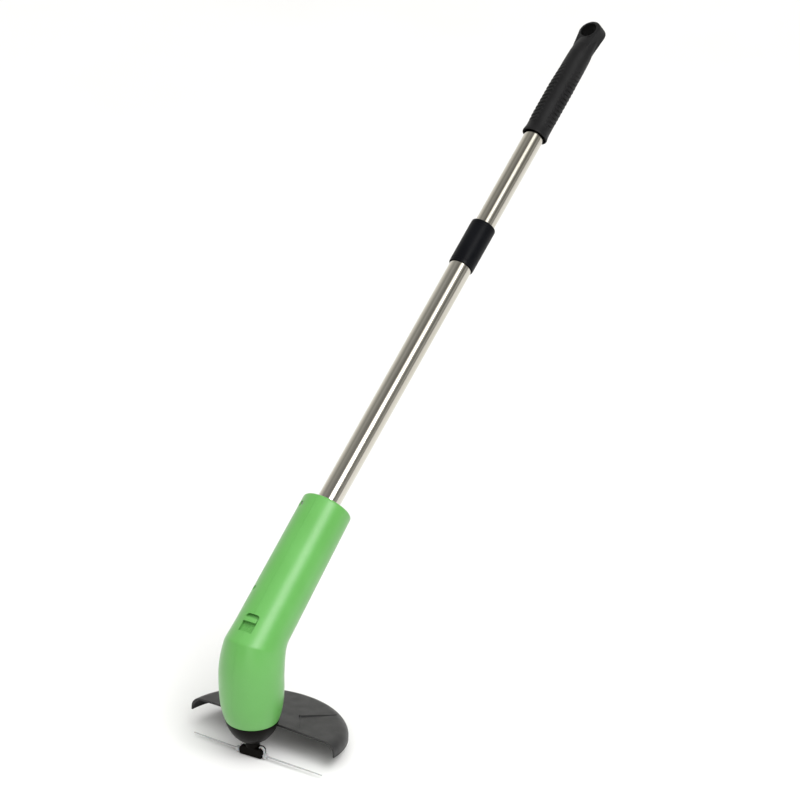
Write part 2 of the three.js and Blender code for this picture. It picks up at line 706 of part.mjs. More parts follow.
// The hang eye: a flat loop round an oval hole. Outlines are [x, z] in the grip's frame.
function eyeLoop() {
  const shape = new THREE.Shape();
  shape.absellipse(0, EYE.centre, EYE.width / 2, EYE.length / 2, 0, Math.PI, false, 0);
  shape.lineTo(-9.5, GRIP.start + 110);
  shape.lineTo(9.5, GRIP.start + 110);
  return shape;
}

function eyeHole() {
  const shape = new THREE.Shape();
  return shape.absellipse(0, EYE.centre, EYE.holeWidth / 2, EYE.holeLength / 2, 0, 2 * Math.PI, false, 0);
}

function eyeSlab(shape, thickness) {
  const geometry = new THREE.ExtrudeGeometry(shape, { depth: thickness, bevelEnabled: false, curveSegments: 12 });
  return solid(geometry.rotateX(Math.PI / 2).translate(0, thickness / 2, 0));
}

// Rib rows either side of the smooth strip; degrees from the grip's own +X.
const RIBS = { rows: [2, -106], count: 16, first: 10.5, pitch: 5.3 };

function grip() {
  const reach = rod(13, GRIP.start, EYE.centre + 20, ROUND).scale([1.09, 1, 1]);
  let shape = skinThrough(gripRings(), ROUND).add(eyeSlab(eyeLoop(), EYE.thickness).intersect(reach));
  for (let rib = 0; rib < RIBS.count; rib += 1) {
    const z = GRIP.start + RIBS.first + rib * RIBS.pitch;
    const tooth = box([10, 14.4], [-5.2, 5.2], [z, z + 2.4]);
    for (const turn of RIBS.rows) {
      shape = shape.add(tooth.rotate([0, 0, turn]));
    }
  }
  const bore = rod(UPPER_TUBE.radius + GAP, GRIP.start - 1, UPPER_TUBE.end + 1, ROUND);
  const mouth = rod(13, GRIP.start - 1, GRIP.start + 9, ROUND);
  return shape.subtract(bore).subtract(mouth).subtract(eyeSlab(eyeHole(), 40));
}

function addPole(body) {
  const { radius, wall, start, end } = UPPER_TUBE;
  body.add(piece('tube_socket', tubeSocket(), black()));
  pole.add(piece('tube_pin', crossRod(1.5, -14.9, 14.9, 0, TUBE_PIN, 12), zinc()));
  pole.add(piece('lower_tube', lowerTube(), steel()));
  pole.add(piece('collar', collar(), black()));
  pole.add(piece('upper_tube', ring(radius - wall, radius, start, end, ROUND), steel()));
  pole.add(piece('lock_cone', lockCone(), black()));
  pole.add(piece('lock_sleeve', lockSleeve(), nylon()));
  gripFrame.add(piece('grip', grip(), black()));
}

// ---- Wires inside the housing; points are in the object's frame ----
function bodyPoint(x, y, z) {
  return new THREE.Vector3(x, y, z).applyMatrix4(upperBody.matrix).toArray();
}

function addWires(body) {
  const wire = roundSection(0.8, 6);
  const routes = {
    wire_positive: [bodyPoint(6, 1, 23), bodyPoint(6, -6, 20), bodyPoint(4, -13.5, 18)],
    wire_switch: [bodyPoint(0, -13.5, 12), bodyPoint(3, -6, 0), [7, -3, 104], [6, 0, 84.8]],
    wire_negative: [bodyPoint(-6, 1, 23), bodyPoint(-8, 4, 12), [-9, 4, 108], [-6, 0, 84.8]],
  };
  for (const [name, points] of Object.entries(routes)) {
    body.add(piece(name, alongPath(points, wire, 14), name === 'wire_negative' ? black() : finish(0xa02020, 0.5, 0)));
  }
}

// ---- Assembly ----
const trimmer = new THREE.Group();
trimmer.add(upperBody, pole);
addHousing(trimmer);
addBatteryDoor(trimmer);
addBatteries();
upperBody.add(piece('switch_slider', switchSlider(), green()));
upperBody.add(piece('switch_body', switchBody(), black()));
addMotor(trimmer);
addNose(trimmer);
addSpindle(trimmer);
addTies(trimmer);
addPole(trimmer);
addWires(trimmer);

export default trimmer;
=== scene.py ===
"""Battery string trimmer on a telescoping steel pole.

Fine shapes, materials, light and camera round the CAD frame. Dimensions are in millimetres and angles in
radians, as in the CAD part; meshes are scaled to metres when made.
"""
import json
import math

import bmesh
import bpy
from mathutils import Matrix, Vector


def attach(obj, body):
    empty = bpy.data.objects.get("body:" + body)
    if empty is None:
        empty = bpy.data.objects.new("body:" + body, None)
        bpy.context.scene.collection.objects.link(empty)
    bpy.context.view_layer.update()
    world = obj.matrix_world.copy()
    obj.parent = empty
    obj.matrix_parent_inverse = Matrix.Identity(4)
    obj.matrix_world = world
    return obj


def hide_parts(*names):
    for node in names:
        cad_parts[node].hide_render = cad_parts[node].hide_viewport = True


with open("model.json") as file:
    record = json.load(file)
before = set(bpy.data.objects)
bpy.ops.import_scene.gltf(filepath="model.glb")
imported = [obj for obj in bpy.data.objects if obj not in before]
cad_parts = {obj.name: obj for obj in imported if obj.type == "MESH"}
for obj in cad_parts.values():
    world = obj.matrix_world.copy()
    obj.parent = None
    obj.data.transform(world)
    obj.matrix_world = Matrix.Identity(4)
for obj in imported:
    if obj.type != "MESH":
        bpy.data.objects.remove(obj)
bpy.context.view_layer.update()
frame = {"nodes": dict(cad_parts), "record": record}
nodes = frame["nodes"]

# ---- Driving dimensions, the same as the CAD part's ----
MM = 0.001
GAP = 0.3
WALL = 2.2
BODY_TILT = math.radians(53)
BEND_HEIGHT = 121.7
BODY_LENGTH = 176
CROWN = 5
MOUTH_HEIGHT = 44
MOUTH_RADIUS = 28
BARREL_RADIUS = 33.9
BARREL_WIDEST = 94
NECK_RADIUS = 29.2
TOP_RADIUS = 27.2
BROW = 2.2
INNER_BEND = 60
CREASE_TILT = math.radians(31.5)

POLE_TILT = math.radians(55.7)
POLE_HEIGHT = 136
LOWER_TUBE = {"radius": 12.5, "wall": 0.8, "start": 129, "end": 515}
UPPER_TUBE = {"radius": 11, "wall": 0.8, "start": 300, "end": 758}
COLLAR = {"radius": 14.1, "start": 476.1, "end": 531.1}
GRIP = {"start": 653, "twist": math.radians(-14), "mouth": (13.7, 13.5), "mouth_depth": 10, "voxel": 0.36}
EYE = {"centre": 795.5, "width": 28, "length": 25, "thickness": 14.5, "hole_length": 19, "hole_width": 21}
# How far the eye's bore is cut inside its hole; the bore's faces inside the hole get a near-black painted
# shade.
EYE_BORE_INSET = 0.6
RIBS = {"rows": (2, -106), "count": 16, "first": 10.5, "pitch": 5.3, "half_width": 7, "outer": 17,
        "lean": math.radians(12)}
TOOTH = {"inner": 11, "low": 0, "high": 2.5}
GROOVE = {"inner": 12.2, "low": 3.3, "high": 4.6}
TUBE_PIN = 138

DOOR = {"start": 30.5, "end": 137.5, "half_width": 17, "near_y": 6, "gap": 0.2}
SEAM = 0.06                 # half the gap between the housing's halves
SWITCH = {"low": 8.5, "high": 29.5, "half_width": 8, "travel": 10, "rim": 1.2, "plate_y": -25.1,
          "plate_back": -23.5}
THUMB_BAR = {"low": 20, "high": 24.6, "crown": 30.9}
PIP = {"height": 0.6, "half_width": 0.5, "pitch": 1.4, "rows": 7, "columns": 9}
SCREW = {"head_x": -14, "tip_x": 13, "bore": 1.75, "recess": 3, "boss": 4.3}
CAP = {"low": 18, "high": 43.7, "low_radius": 9, "high_radius": 28.3, "wall": 2}
GUARD = {"radius": 90.5, "centre_y": 17.4, "centre_z": 32.7, "tilt": math.radians(7)}
DISH = {"crown": 1.1, "shoulder": 12, "depth": 16.4, "wall": 2.2, "chord": 1.3}
BRACKET = {"half_width": 10.5, "low": 23, "high": 31, "back": 28}
GUARD_SCREWS = (-6, 6)
GUARD_SCREW_HEIGHT = 26.5
GUARD_SCREW_BORE = 1.5
HUB = {"half_length": 13, "half_width": 5.5, "height": 10, "slot": 8.5}
BUSH = {"radius": 7.5, "high": 17.2}
SHAFT_RADIUS = 1.15
TIE = {"width": 2.5, "thickness": 1.1, "height": 3, "right_tip": 87, "right_sweep": -4, "left_tip": 73,
       "left_sweep": 4.8}
REST_TURN = math.radians(4)
CELL_BAND = 0.0254          # metres along the cells between the ends of a colour band

SIDES = 160                 # sides of the largest round pieces
FINE = 96                   # sides of the other round pieces


# ---- Camera ----
def add_camera():
    data = bpy.data.cameras.new("camera")
    data.lens = 180
    data.sensor_width = 36
    data.clip_end = 100
    camera = bpy.data.objects.new("camera", data)
    camera.location = (2.08604, -2.88139, 2.15357)
    camera.rotation_euler = (math.radians(63.84), 0, math.radians(33.45))
    bpy.context.scene.collection.objects.link(camera)
    bpy.context.scene.camera = camera


# ---- Frames: local +Z runs up the body or the pole, local +Y is the back ----
def tilted_frame(height, tilt):
    return Matrix.Translation((0, 0, height)) @ Matrix.Rotation(-tilt, 4, "X")


REST = Matrix.Identity(4)
BODY = tilted_frame(BEND_HEIGHT, BODY_TILT)
POLE = tilted_frame(POLE_HEIGHT, POLE_TILT)
HANDLE = POLE @ Matrix.Rotation(GRIP["twist"], 4, "Z")
DISH_MIDDLE = Matrix.Translation((0, GUARD["centre_y"], GUARD["centre_z"]))
DISH_PLACE = DISH_MIDDLE @ Matrix.Rotation(-GUARD["tilt"], 4, "X")
HUB_PLACE = Matrix.Rotation(REST_TURN, 4, "Z")


# ---- Mesh helpers ----
def lerp(a, b, share):
    return a + (b - a) * share


def smoothstep(value, low, high):
    share = min(1, max(0, (value - low) / (high - low)))
    return share * share * (3 - 2 * share)


def steps(low, high, count):
    return [lerp(low, high, step / count) for step in range(count + 1)]


def make_object(name, points, faces, place=REST):
    mesh = bpy.data.meshes.new(name)
    mesh.from_pydata([(place @ Vector(point)) * MM for point in points], [], faces)
    shape = bmesh.new()
    shape.from_mesh(mesh)
    bmesh.ops.recalc_face_normals(shape, faces=shape.faces)
    shape.to_mesh(mesh)
    shape.free()
    made = bpy.data.objects.new(name, mesh)
    bpy.context.scene.collection.objects.link(made)
    return made


def bake(target):
    """Applies the modifiers to the mesh."""
    depsgraph = bpy.context.evaluated_depsgraph_get()
    mesh = bpy.data.meshes.new_from_object(target.evaluated_get(depsgraph))
    old = target.data
    target.modifiers.clear()
    target.data = mesh
    bpy.data.meshes.remove(old)


def remove(target):
    mesh = target.data
    bpy.data.objects.remove(target)
    bpy.data.meshes.remove(mesh)


def combine(target, tool, operation, keep=False):
    modifier = target.modifiers.new("combine", "BOOLEAN")
    modifier.operation = operation
    modifier.solver = "EXACT"
    modifier.object = tool
    bake(target)
    if not keep:
        remove(tool)
    return target


def cut(target, *tools):
    for tool in tools:
        combine(target, tool, "DIFFERENCE")
    return target


def join(target, *tools):
    for tool in tools:
        combine(target, tool, "UNION")
    return target


def overlap(target, tool, keep=False):
    return combine(target, tool, "INTERSECT", keep)


def copy_of(target, name):
    made = bpy.data.objects.new(name, target.data.copy())
    bpy.context.scene.collection.objects.link(made)
    return made


def rounded(corners, turns=4):
    """A profile whose corners [across, along, fillet] are turned on arcs."""
    points = []
    count = len(corners)
    for index, (across, along, fillet) in enumerate(corners):
        here = Vector((across, along))
        if fillet <= 0 or index in (0, count - 1):
            points.append((across, along))
            continue
        before = (Vector(corners[index - 1][:2]) - here).normalized()
        after = (Vector(corners[index + 1][:2]) - here).normalized()
        half = before.angle(after) / 2
        reach = fillet / math.tan(half)
        centre = here + (before + after).normalized() * (fillet / math.sin(half))
        first = here + before * reach - centre
        last = here + after * reach - centre
        for share in steps(0, 1, turns):
            spoke = first.slerp(last, share)
            points.append(tuple(centre + spoke.normalized() * fillet))
    return points


def rounded_loop(corners, turns=4):
    """A closed outline; its last corner repeats the first, and is dropped."""
    return rounded(corners, turns)[:-1]


def lathe(name, outline, sides=FINE, place=REST):
    """A closed solid of revolution about local Z. A profile that starts off the axis closes on itself."""
    points = []
    rows = []
    for radius, height in outline:
        if radius < 1e-6:
            rows.append([len(points)] * sides)
            points.append((0, 0, height))
            continue
        rows.append(list(range(len(points), len(points) + sides)))
        for side in range(sides):
            angle = 2 * math.pi * side / sides
            points.append((radius * math.cos(angle), radius * math.sin(angle), height))
    if outline[0][0] >= 1e-6:
        rows.append(rows[0])
    faces = []
    for low, high in zip(rows, rows[1:]):
        for side in range(sides):
            after = (side + 1) % sides
            corners = list(dict.fromkeys((low[side], low[after], high[after], high[side])))
            if len(corners) > 2:
                faces.append(corners)
    return make_object(name, points, faces, place)


def rod(name, radius, low, high, place=REST, sides=48):
    return lathe(name, [(0, low), (radius, low), (radius, high), (0, high)], sides, place)


def cross_place(y, z):
    """Turns a rod along local Z into one along X, at a given y and z."""
    return Matrix.Translation((0, y, z)) @ Matrix.Rotation(math.pi / 2, 4, "Y")


def depth_place(x, z):
    """Turns a rod along local Z into one along Y, at a given x and z."""
    return Matrix.Translation((x, 0, z)) @ Matrix.Rotation(-math.pi / 2, 4, "X")


def box(name, across, deep, tall, place=REST):
    points = [(x, y, z) for x in across for y in deep for z in tall]
    faces = [(0, 1, 3, 2), (4, 6, 7, 5), (0, 4, 5, 1), (2, 3, 7, 6), (0, 2, 6, 4), (1, 5, 7, 3)]
    return make_object(name, points, faces, place)


def stack(name, points, sides, place=REST):
    """A closed skin over rings that have the same number of points and follow each other."""
    count = len(points)
    faces = [tuple(range(sides)), tuple(range(count - sides, count))]
    for low in range(0, count - sides, sides):
        high = low + sides
        for side in range(sides):
            after = (side + 1) % sides
            faces.append((low + side, low + after, high + after, high + side))
    return make_object(name, points, faces, place)


def slab(name, outline, low, high, place=REST):
    """An outline of [across, along] points made thick along Y."""
    points = [(x, y, z) for y in (low, high) for x, z in outline]
    return stack(name, points, len(outline), place)


def ring_skin(name, rings, sides, place=REST):
    """A closed skin through rings of (y, z, tilt, side, back, front)."""
    points = []
    for y, z, tilt, side_reach, back, front in rings:
        for side in range(sides):
            angle = 2 * math.pi * side / sides
            reach = math.cos(angle) * (back if math.cos(angle) > 0 else front)
            points.append((
                math.sin(angle) * side_reach,
                y + reach * math.cos(tilt),
                z - reach * math.sin(tilt),
            ))
    return stack(name, points, sides, place)


def soften(target, width, segments=2, angle=30):
    """Rounds every edge that is sharper than the angle."""
    modifier = target.modifiers.new("soften", "BEVEL")
    modifier.width = width * MM
    modifier.segments = segments
    modifier.limit_method = "ANGLE"
    modifier.angle_limit = math.radians(angle)
    bake(target)
    return target


def shade(target, angle=35):
    target.data.shade_smooth()
    target.data.set_sharp_from_angle(angle=math.radians(angle))
    weigh = target.modifiers.new("weigh", "WEIGHTED_NORMAL")
    weigh.keep_sharp = True
    return target


def stand_in(made, materials, slot, body, *cad_nodes, angle=35):
    """Finishes a piece that is shown in place of CAD nodes, in its slot's material."""
    shade(made, angle)
    made.data.materials.clear()
    made.data.materials.append(materials[slot])
    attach(made, body)
    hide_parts(*cad_nodes)
    return made


# ---- Material helpers ----
class Nodes:
    """Adds nodes to a new material round its Principled shader."""

    def __init__(self, name):
        self.material = bpy.data.materials.new(name)
        self.material.use_nodes = True
        self.tree = self.material.node_tree
        self.shader = self.tree.nodes["Principled BSDF"]
        self.place = self.add("ShaderNodeTexCoord").outputs["Object"]

    def add(self, kind, **settings):
        node = self.tree.nodes.new(kind)
        for key, value in settings.items():
            setattr(node, key, value)
        return node

    def link(self, source, target):
        self.tree.links.new(source, target)

    def turned(self, matrix):
        """Object coordinates in one of the tilted frames, in metres."""
        node = self.add("ShaderNodeMapping", vector_type="POINT")
        back = matrix.inverted()
        node.inputs["Rotation"].default_value = back.to_euler()
        node.inputs["Location"].default_value = back.to_translation() * MM
        self.link(self.place, node.inputs["Vector"])
        return node.outputs["Vector"]

    def stretched(self, vector, scale):
        node = self.add("ShaderNodeMapping", vector_type="POINT")
        node.inputs["Scale"].default_value = scale
        self.link(vector, node.inputs["Vector"])
        return node.outputs["Vector"]

    def noise(self, vector, scale, detail=3, roughness=0.5):
        node = self.add("ShaderNodeTexNoise")
        node.inputs["Scale"].default_value = scale
        node.inputs["Detail"].default_value = detail
        node.inputs["Roughness"].default_value = roughness
        self.link(vector, node.inputs["Vector"])
        return node.outputs["Fac"]

    def voronoi(self, vector, scale):
        node = self.add("ShaderNodeTexVoronoi")
        node.inputs["Scale"].default_value = scale
        self.link(vector, node.inputs["Vector"])
        return node.outputs["Distance"]

    def spread(self, value, low, high, to_low, to_high):
        node = self.add("ShaderNodeMapRange")
        for name, number in (("From Min", low), ("From Max", high), ("To Min", to_low), ("To Max", to_high)):
            node.inputs[name].default_value = number
        self.link(value, node.inputs["Value"])
        return node.outputs["Result"]

    def colours(self, value, stops):
        node = self.add("ShaderNodeValToRGB")
        ramp = node.color_ramp
        while len(ramp.elements) < len(stops):
            ramp.elements.new(0.5)
        for element, (position, colour) in zip(ramp.elements, stops):
            element.position = position
            element.color = (*colour, 1)
        self.link(value, node.inputs["Fac"])
        return node.outputs["Color"]

    def two_tone(self, value, low, high):
        return self.colours(value, [(0.3, low), (0.7, high)])

    def mix(self, factor, first, second):
        """Mixes two colours; either may be a socket or a plain colour, and so may the factor."""
        node = self.add("ShaderNodeMix", data_type="RGBA")
        for socket, value in ((node.inputs[0], factor), (node.inputs[6], first), (node.inputs[7], second)):
            if hasattr(value, "is_output"):
                self.link(value, socket)
            elif isinstance(value, tuple):
                socket.default_value = (*value, 1)
            else:
                socket.default_value = value
        return node.outputs[2]

    def bump(self, height, distance, strength=1.0, under=None):
        node = self.add("ShaderNodeBump")
        node.inputs["Distance"].default_value = distance * MM
        node.inputs["Strength"].default_value = strength
        self.link(height, node.inputs["Height"])
        if under is not None:
            self.link(under, node.inputs["Normal"])
        return node.outputs["Normal"]

    def set(self, **values):
        names = {
            "colour": "Base Color", "roughness": "Roughness", "metallic": "Metallic", "normal": "Normal",
            "coat": "Coat Weight", "coat_roughness": "Coat Roughness", "specular": "Specular IOR Level",
            "anisotropic": "Anisotropic", "sheen": "Sheen Weight", "subsurface": "Subsurface Weight",
            "subsurface_scale": "Subsurface Scale",
        }
        for key, value in values.items():
            socket = self.shader.inputs[names[key]]
            if hasattr(value, "is_output"):
                self.link(value, socket)
            elif isinstance(value, tuple):
                socket.default_value = (*value, 1)
            else:
                socket.default_value = value
        return self.material


# ---- Materials ----
def green_plastic():
    """Semi-gloss moulded plastic: slight cloudiness, a fine moulded grain and faint scuffs."""
    made = Nodes("green_plastic")
    cloud = made.noise(made.place, 22, 2)
    colour = made.two_tone(cloud, (0.100, 0.338, 0.068), (0.112, 0.364, 0.080))
    scuff = made.noise(made.stretched(made.turned(BODY), (260, 260, 45)), 1, 4, 0.7)
    marks = made.spread(scuff, 0.62, 0.75, 0, 0.12)
    colour = made.mix(marks, colour, (0.19, 0.50, 0.155))
    rough = made.spread(made.noise(made.place, 160, 3), 0.3, 0.7, 0.36, 0.45)
    grain = made.noise(made.place, 2600, 2)
    waves = made.noise(made.place, 45, 2)
    normal = made.bump(waves, 0.25, 0.25, made.bump(grain, 0.03, 0.5))
    return made.set(
        colour=colour, roughness=rough, normal=normal, specular=0.4, coat=0.45, coat_roughness=0.29)


def dark_plastic(name, low, high, rough, grain_scale, grain_depth, specular):
    """Black moulded plastic with a grain, cloudy roughness and paler rubbed specks."""
    made = Nodes(name)
    cloud = made.noise(made.place, 35, 3)
    colour = made.two_tone(cloud, low, high)
    specks = made.noise(made.place, 420, 4, 0.65)
    dust = made.spread(specks, 0.66, 0.8, 0, 0.35)
    colour = made.mix(dust, colour, tuple(min(1, channel * 2.2) for channel in high))
    rough = made.spread(made.noise(made.place, 90, 4), 0.25, 0.75, *rough)
    grain = made.noise(made.place, grain_scale, 2)
    normal = made.bump(grain, grain_depth, 0.6)
    return made.set(colour=colour, roughness=rough, normal=normal, specular=specular)


def grip_rubber():
    """Soft black rubber with a leathery pebble and a fine grain."""
    made = Nodes("grip_rubber")
    cloud = made.noise(made.place, 60, 3)
    colour = made.two_tone(cloud, (0.0040, 0.0040, 0.0045), (0.0070, 0.0070, 0.0077))
    pebble = made.voronoi(made.place, 1250)
    fine = made.noise(made.place, 3000, 2)
    normal = made.bump(pebble, 0.12, 0.7, made.bump(fine, 0.03, 0.5))
    rough = made.spread(pebble, 0, 0.8, 0.62, 0.5)
    return made.set(colour=colour, roughness=rough, normal=normal, sheen=0.02, specular=0.24)


def pole_steel():
    """Polished stainless tube, drawn along its length: fine lines, faint stains and a warm tone."""
    made = Nodes("pole_steel")
    along = made.turned(POLE)
    lines = made.noise(made.stretched(along, (1600, 1600, 5)), 1, 3, 0.6)
    streaks = made.noise(made.stretched(along, (170, 170, 4)), 1, 2)
    stain = made.noise(made.place, 14, 3)
    colour = made.two_tone(streaks, (0.56, 0.53, 0.46), (0.66, 0.635, 0.575))
    colour = made.mix(made.spread(stain, 0.45, 0.7, 0, 0.25), colour, (0.47, 0.45, 0.38))
    rough = made.spread(lines, 0.3, 0.7, 0.1, 0.19)
    normal = made.bump(lines, 0.006, 0.5)
    return made.set(colour=colour, roughness=rough, normal=normal, metallic=1.0, anisotropic=0.35)


def plated(name, low, high, rough_low, rough_high):
    """Plated or bare metal with fine scratches and cloudy plating."""
    made = Nodes(name)
    cloud = made.noise(made.place, 180, 3)
    colour = made.two_tone(cloud, low, high)
    scratch = made.noise(made.stretched(made.place, (300, 2400, 900)), 1, 4, 0.65)
    rough = made.spread(scratch, 0.3, 0.7, rough_low, rough_high)
    normal = made.bump(scratch, 0.01, 0.5)
    return made.set(colour=colour, roughness=rough, normal=normal, metallic=1.0)


def tie_nylon():
    """Natural nylon: cloudy, slightly waxy, faintly see-through."""
    made = Nodes("tie_nylon")
    cloud = made.noise(made.place, 240, 3)
    colour = made.two_tone(cloud, (0.38, 0.39, 0.395), (0.48, 0.49, 0.495))
    rough = made.spread(made.noise(made.place, 600, 3), 0.3, 0.7, 0.35, 0.5)
    normal = made.bump(made.noise(made.place, 1800, 2), 0.02, 0.5)
    return made.set(colour=colour, roughness=rough, normal=normal, subsurface=0.15, subsurface_scale=0.002)


def wire_skin(name, low, high):
    """Soft wire insulation, slightly uneven."""
    made = Nodes(name)
    cloud = made.noise(made.place, 300, 3)
    colour = made.two_tone(cloud, low, high)
    rough = made.spread(made.noise(made.place, 900, 2), 0.3, 0.7, 0.38, 0.5)
    normal = made.bump(made.noise(made.place, 2200, 2), 0.02, 0.5)
    return made.set(colour=colour, roughness=rough, normal=normal)


def cell_wrap():
    """Shrink-wrapped cell: a dark sleeve with plain copper-coloured bands."""
    made = Nodes("cell_wrap")
    along = made.turned(BODY)
    split = made.add("ShaderNodeSeparateXYZ")
    made.link(along, split.inputs["Vector"])
    wave = made.add("ShaderNodeMath", operation="PINGPONG")
    made.link(split.outputs["Z"], wave.inputs[0])
    wave.inputs[1].default_value = CELL_BAND
    band = made.colours(made.spread(wave.outputs["Value"], 0, CELL_BAND, 0, 1), [
        (0.0, (0.02, 0.02, 0.022)), (0.56, (0.024, 0.024, 0.026)),
        (0.6, (0.52, 0.36, 0.14)), (1.0, (0.58, 0.41, 0.18)),
    ])
    rough = made.spread(made.noise(made.place, 260, 3), 0.3, 0.7, 0.24, 0.38)
    normal = made.bump(made.noise(made.place, 420, 2), 0.04, 0.4)
    return made.set(colour=band, roughness=rough, normal=normal, coat=0.3, coat_roughness=0.2)


def make_materials():
    return {
        "green_plastic": green_plastic(),
        "cap_plastic": dark_plastic(
            "cap_plastic", (0.0022, 0.0018, 0.0012), (0.0044, 0.0036, 0.0026), (0.3, 0.42), 1500, 0.02, 0.06),
        "guard_plastic": dark_plastic(
            "guard_plastic", (0.0155, 0.0155, 0.016), (0.023, 0.023, 0.024), (0.36, 0.5), 1200, 0.04, 0.34),
        "collar_plastic": dark_plastic(
            "collar_plastic", (0.0022, 0.0025, 0.0036), (0.0040, 0.0044, 0.0058), (0.33, 0.45), 1800, 0.02,
            0.09),
        "inner_plastic": dark_plastic(
            "inner_plastic", (0.03, 0.03, 0.03), (0.045, 0.045, 0.045), (0.45, 0.6), 1400, 0.03, 0.5),
        "grip_rubber": grip_rubber(),
        # Painted shade: a near-black material that stands in for the shade inside the eye's hole.
        "eye_painted_shade": dark_plastic(
            "eye_painted_shade", (0.0012, 0.0012, 0.0012), (0.0022, 0.0022, 0.0022), (0.5, 0.65), 1500, 0.02, 0.06),
        "pole_steel": pole_steel(),
        "screw_steel": plated("screw_steel", (0.46, 0.46, 0.47), (0.6, 0.6, 0.6), 0.25, 0.42),
        "contact_nickel": plated("contact_nickel", (0.6, 0.58, 0.53), (0.72, 0.7, 0.66), 0.2, 0.35),
        "motor_steel": plated("motor_steel", (0.42, 0.4, 0.37), (0.55, 0.53, 0.5), 0.25, 0.4),
        "motor_core": plated("motor_core", (0.12, 0.1, 0.09), (0.2, 0.17, 0.15), 0.45, 0.6),
        "commutator_copper": plated("commutator_copper", (0.6, 0.27, 0.15), (0.75, 0.38, 0.24), 0.22, 0.38),
        "tie_nylon": tie_nylon(),
        "cell_wrap": cell_wrap(),
        "red_wire": wire_skin("red_wire", (0.38, 0.015, 0.012), (0.5, 0.03, 0.02)),
        "black_wire": wire_skin("black_wire", (0.012, 0.012, 0.012), (0.022, 0.022, 0.022)),
    }


# ---- Housing outline ----
BEND_START = BEND_HEIGHT - INNER_BEND * math.tan(BODY_TILT / 2)
BEND_END = INNER_BEND * math.tan(BODY_TILT / 2)


def upper_radius(distance):
    along = (distance - BEND_END) / (BODY_LENGTH - BEND_END)
    if along > 0:
        return lerp(NECK_RADIUS, TOP_RADIUS, along)
    return NECK_RADIUS + BROW * ((BEND_END - distance) / (BEND_END + 12)) ** 2


def meet(start, rate, radius):
    """Solves reach = start + rate * radius(reach) for a ray that meets a curved front."""
    value = start
    for _ in range(30):
        value = start + rate * (INNER_BEND + radius(value))
    return value


def upper_front(tilt):
    return meet(BEND_END, -math.tan(BODY_TILT - tilt), upper_radius)


CREASE_REACH = (INNER_BEND + upper_radius(upper_front(CREASE_TILT))) / math.cos(BODY_TILT - CREASE_TILT)
CREASE_HEIGHT = BEND_START + CREASE_REACH * math.sin(CREASE_TILT)
CREASE_FRONT = CREASE_REACH * math.cos(CREASE_TILT) - INNER_BEND


def barrel_radius(height):
    drop = max(0, (BARREL_WIDEST - height) / (BARREL_WIDEST - MOUTH_HEIGHT))
    return BARREL_RADIUS - (BARREL_RADIUS - MOUTH_RADIUS) * drop ** 3.2


def barrel_front(height):
    rise = max(0, (height - BARREL_WIDEST) / (CREASE_HEIGHT - BARREL_WIDEST))
    return barrel_radius(height) - (BARREL_RADIUS - CREASE_FRONT) * rise ** 2


def barrel_ring(height, inset):
    radius = barrel_radius(height) - inset
    return (0, height, 0, radius, radius, barrel_front(height) - inset)


def upper_ring(distance, radius):
    y = distance * math.sin(BODY_TILT)
    z = BEND_HEIGHT + distance * math.cos(BODY_TILT)
    return (y, z, BODY_TILT, radius, radius, radius)


def bend_ring(tilt, inset):
    """The back follows an arc; the front runs straight on from both sides to a narrow round at the crease."""
    y = INNER_BEND * (1 - math.cos(tilt))
    z = BEND_START + INNER_BEND * math.sin(tilt)
    blend = smoothstep(tilt, 0, BODY_TILT) ** 1.6
    side = lerp(barrel_radius(BEND_START), NECK_RADIUS, blend) - inset
    fronts = []
    if tilt < CREASE_TILT + 0.2:
        low = barrel_front(meet(BEND_START, math.tan(tilt), barrel_front))
        fronts.append((INNER_BEND + low - inset) / math.cos(tilt) - INNER_BEND)
    if tilt > CREASE_TILT - 0.2:
        high = upper_radius(upper_front(tilt))
        fronts.append((INNER_BEND + high - inset) / math.cos(BODY_TILT - tilt) - INNER_BEND)
    crease_round = 0.45
    front = min(fronts)
    if len(fronts) == 2:
        front -= crease_round * math.log(1 + math.exp(-abs(fronts[0] - fronts[1]) / crease_round))
    return (y, z, BODY_TILT if tilt >= BODY_TILT else tilt, side, side, front)


def skin_rings(inset, pitch):
    """Rings of the housing's outer skin, or of its hollow where inset is the wall."""
    rings = []
    low = MOUTH_HEIGHT - 1 if inset else MOUTH_HEIGHT
    for height in steps(low, BEND_START - pitch, round((BEND_START - low) / pitch)):
        rings.append(barrel_ring(height, inset))
    near = 0.035
    coarse = max(3, round(14 / pitch))
    fine = 3 if inset else 14
    rings += [bend_ring(tilt, inset) for tilt in steps(0, CREASE_TILT - near, coarse)]
    rings += [bend_ring(tilt, inset) for tilt in steps(CREASE_TILT - near, CREASE_TILT + near, fine)[1:]]
    rings += [bend_ring(tilt, inset) for tilt in steps(CREASE_TILT + near, BODY_TILT, coarse)[1:]]
    edge = WALL if inset else 2.6
    last = BODY_LENGTH - edge
    for distance in steps(BEND_END, last, round((last - BEND_END) / pitch))[1:]:
        rings.append(upper_ring(distance, upper_radius(distance) - inset))
    if inset:
        return rings
    rim = TOP_RADIUS - edge
    for turn in steps(0, math.pi / 2, 6)[1:]:
        rings.append(upper_ring(last + edge * math.sin(turn), rim + edge * math.cos(turn)))
    for share in steps(1, 0.3, 9)[1:]:
        rings.append(upper_ring(BODY_LENGTH + CROWN * (1 - share ** 2), rim * share))
    return rings


# ---- Housing ----
HOUSING_SCREWS = (
    {"place": BODY, "y": -20.5, "z": 162.5},
    {"place": BODY, "y": -20.5, "z": 59.5},
    {"place": REST, "y": 21, "z": 106},
    {"place": REST, "y": 22, "z": 62},
)


def screw_boss(screw):
    return rod("boss", SCREW["boss"], -40, 40, screw["place"] @ cross_place(screw["y"], screw["z"]))


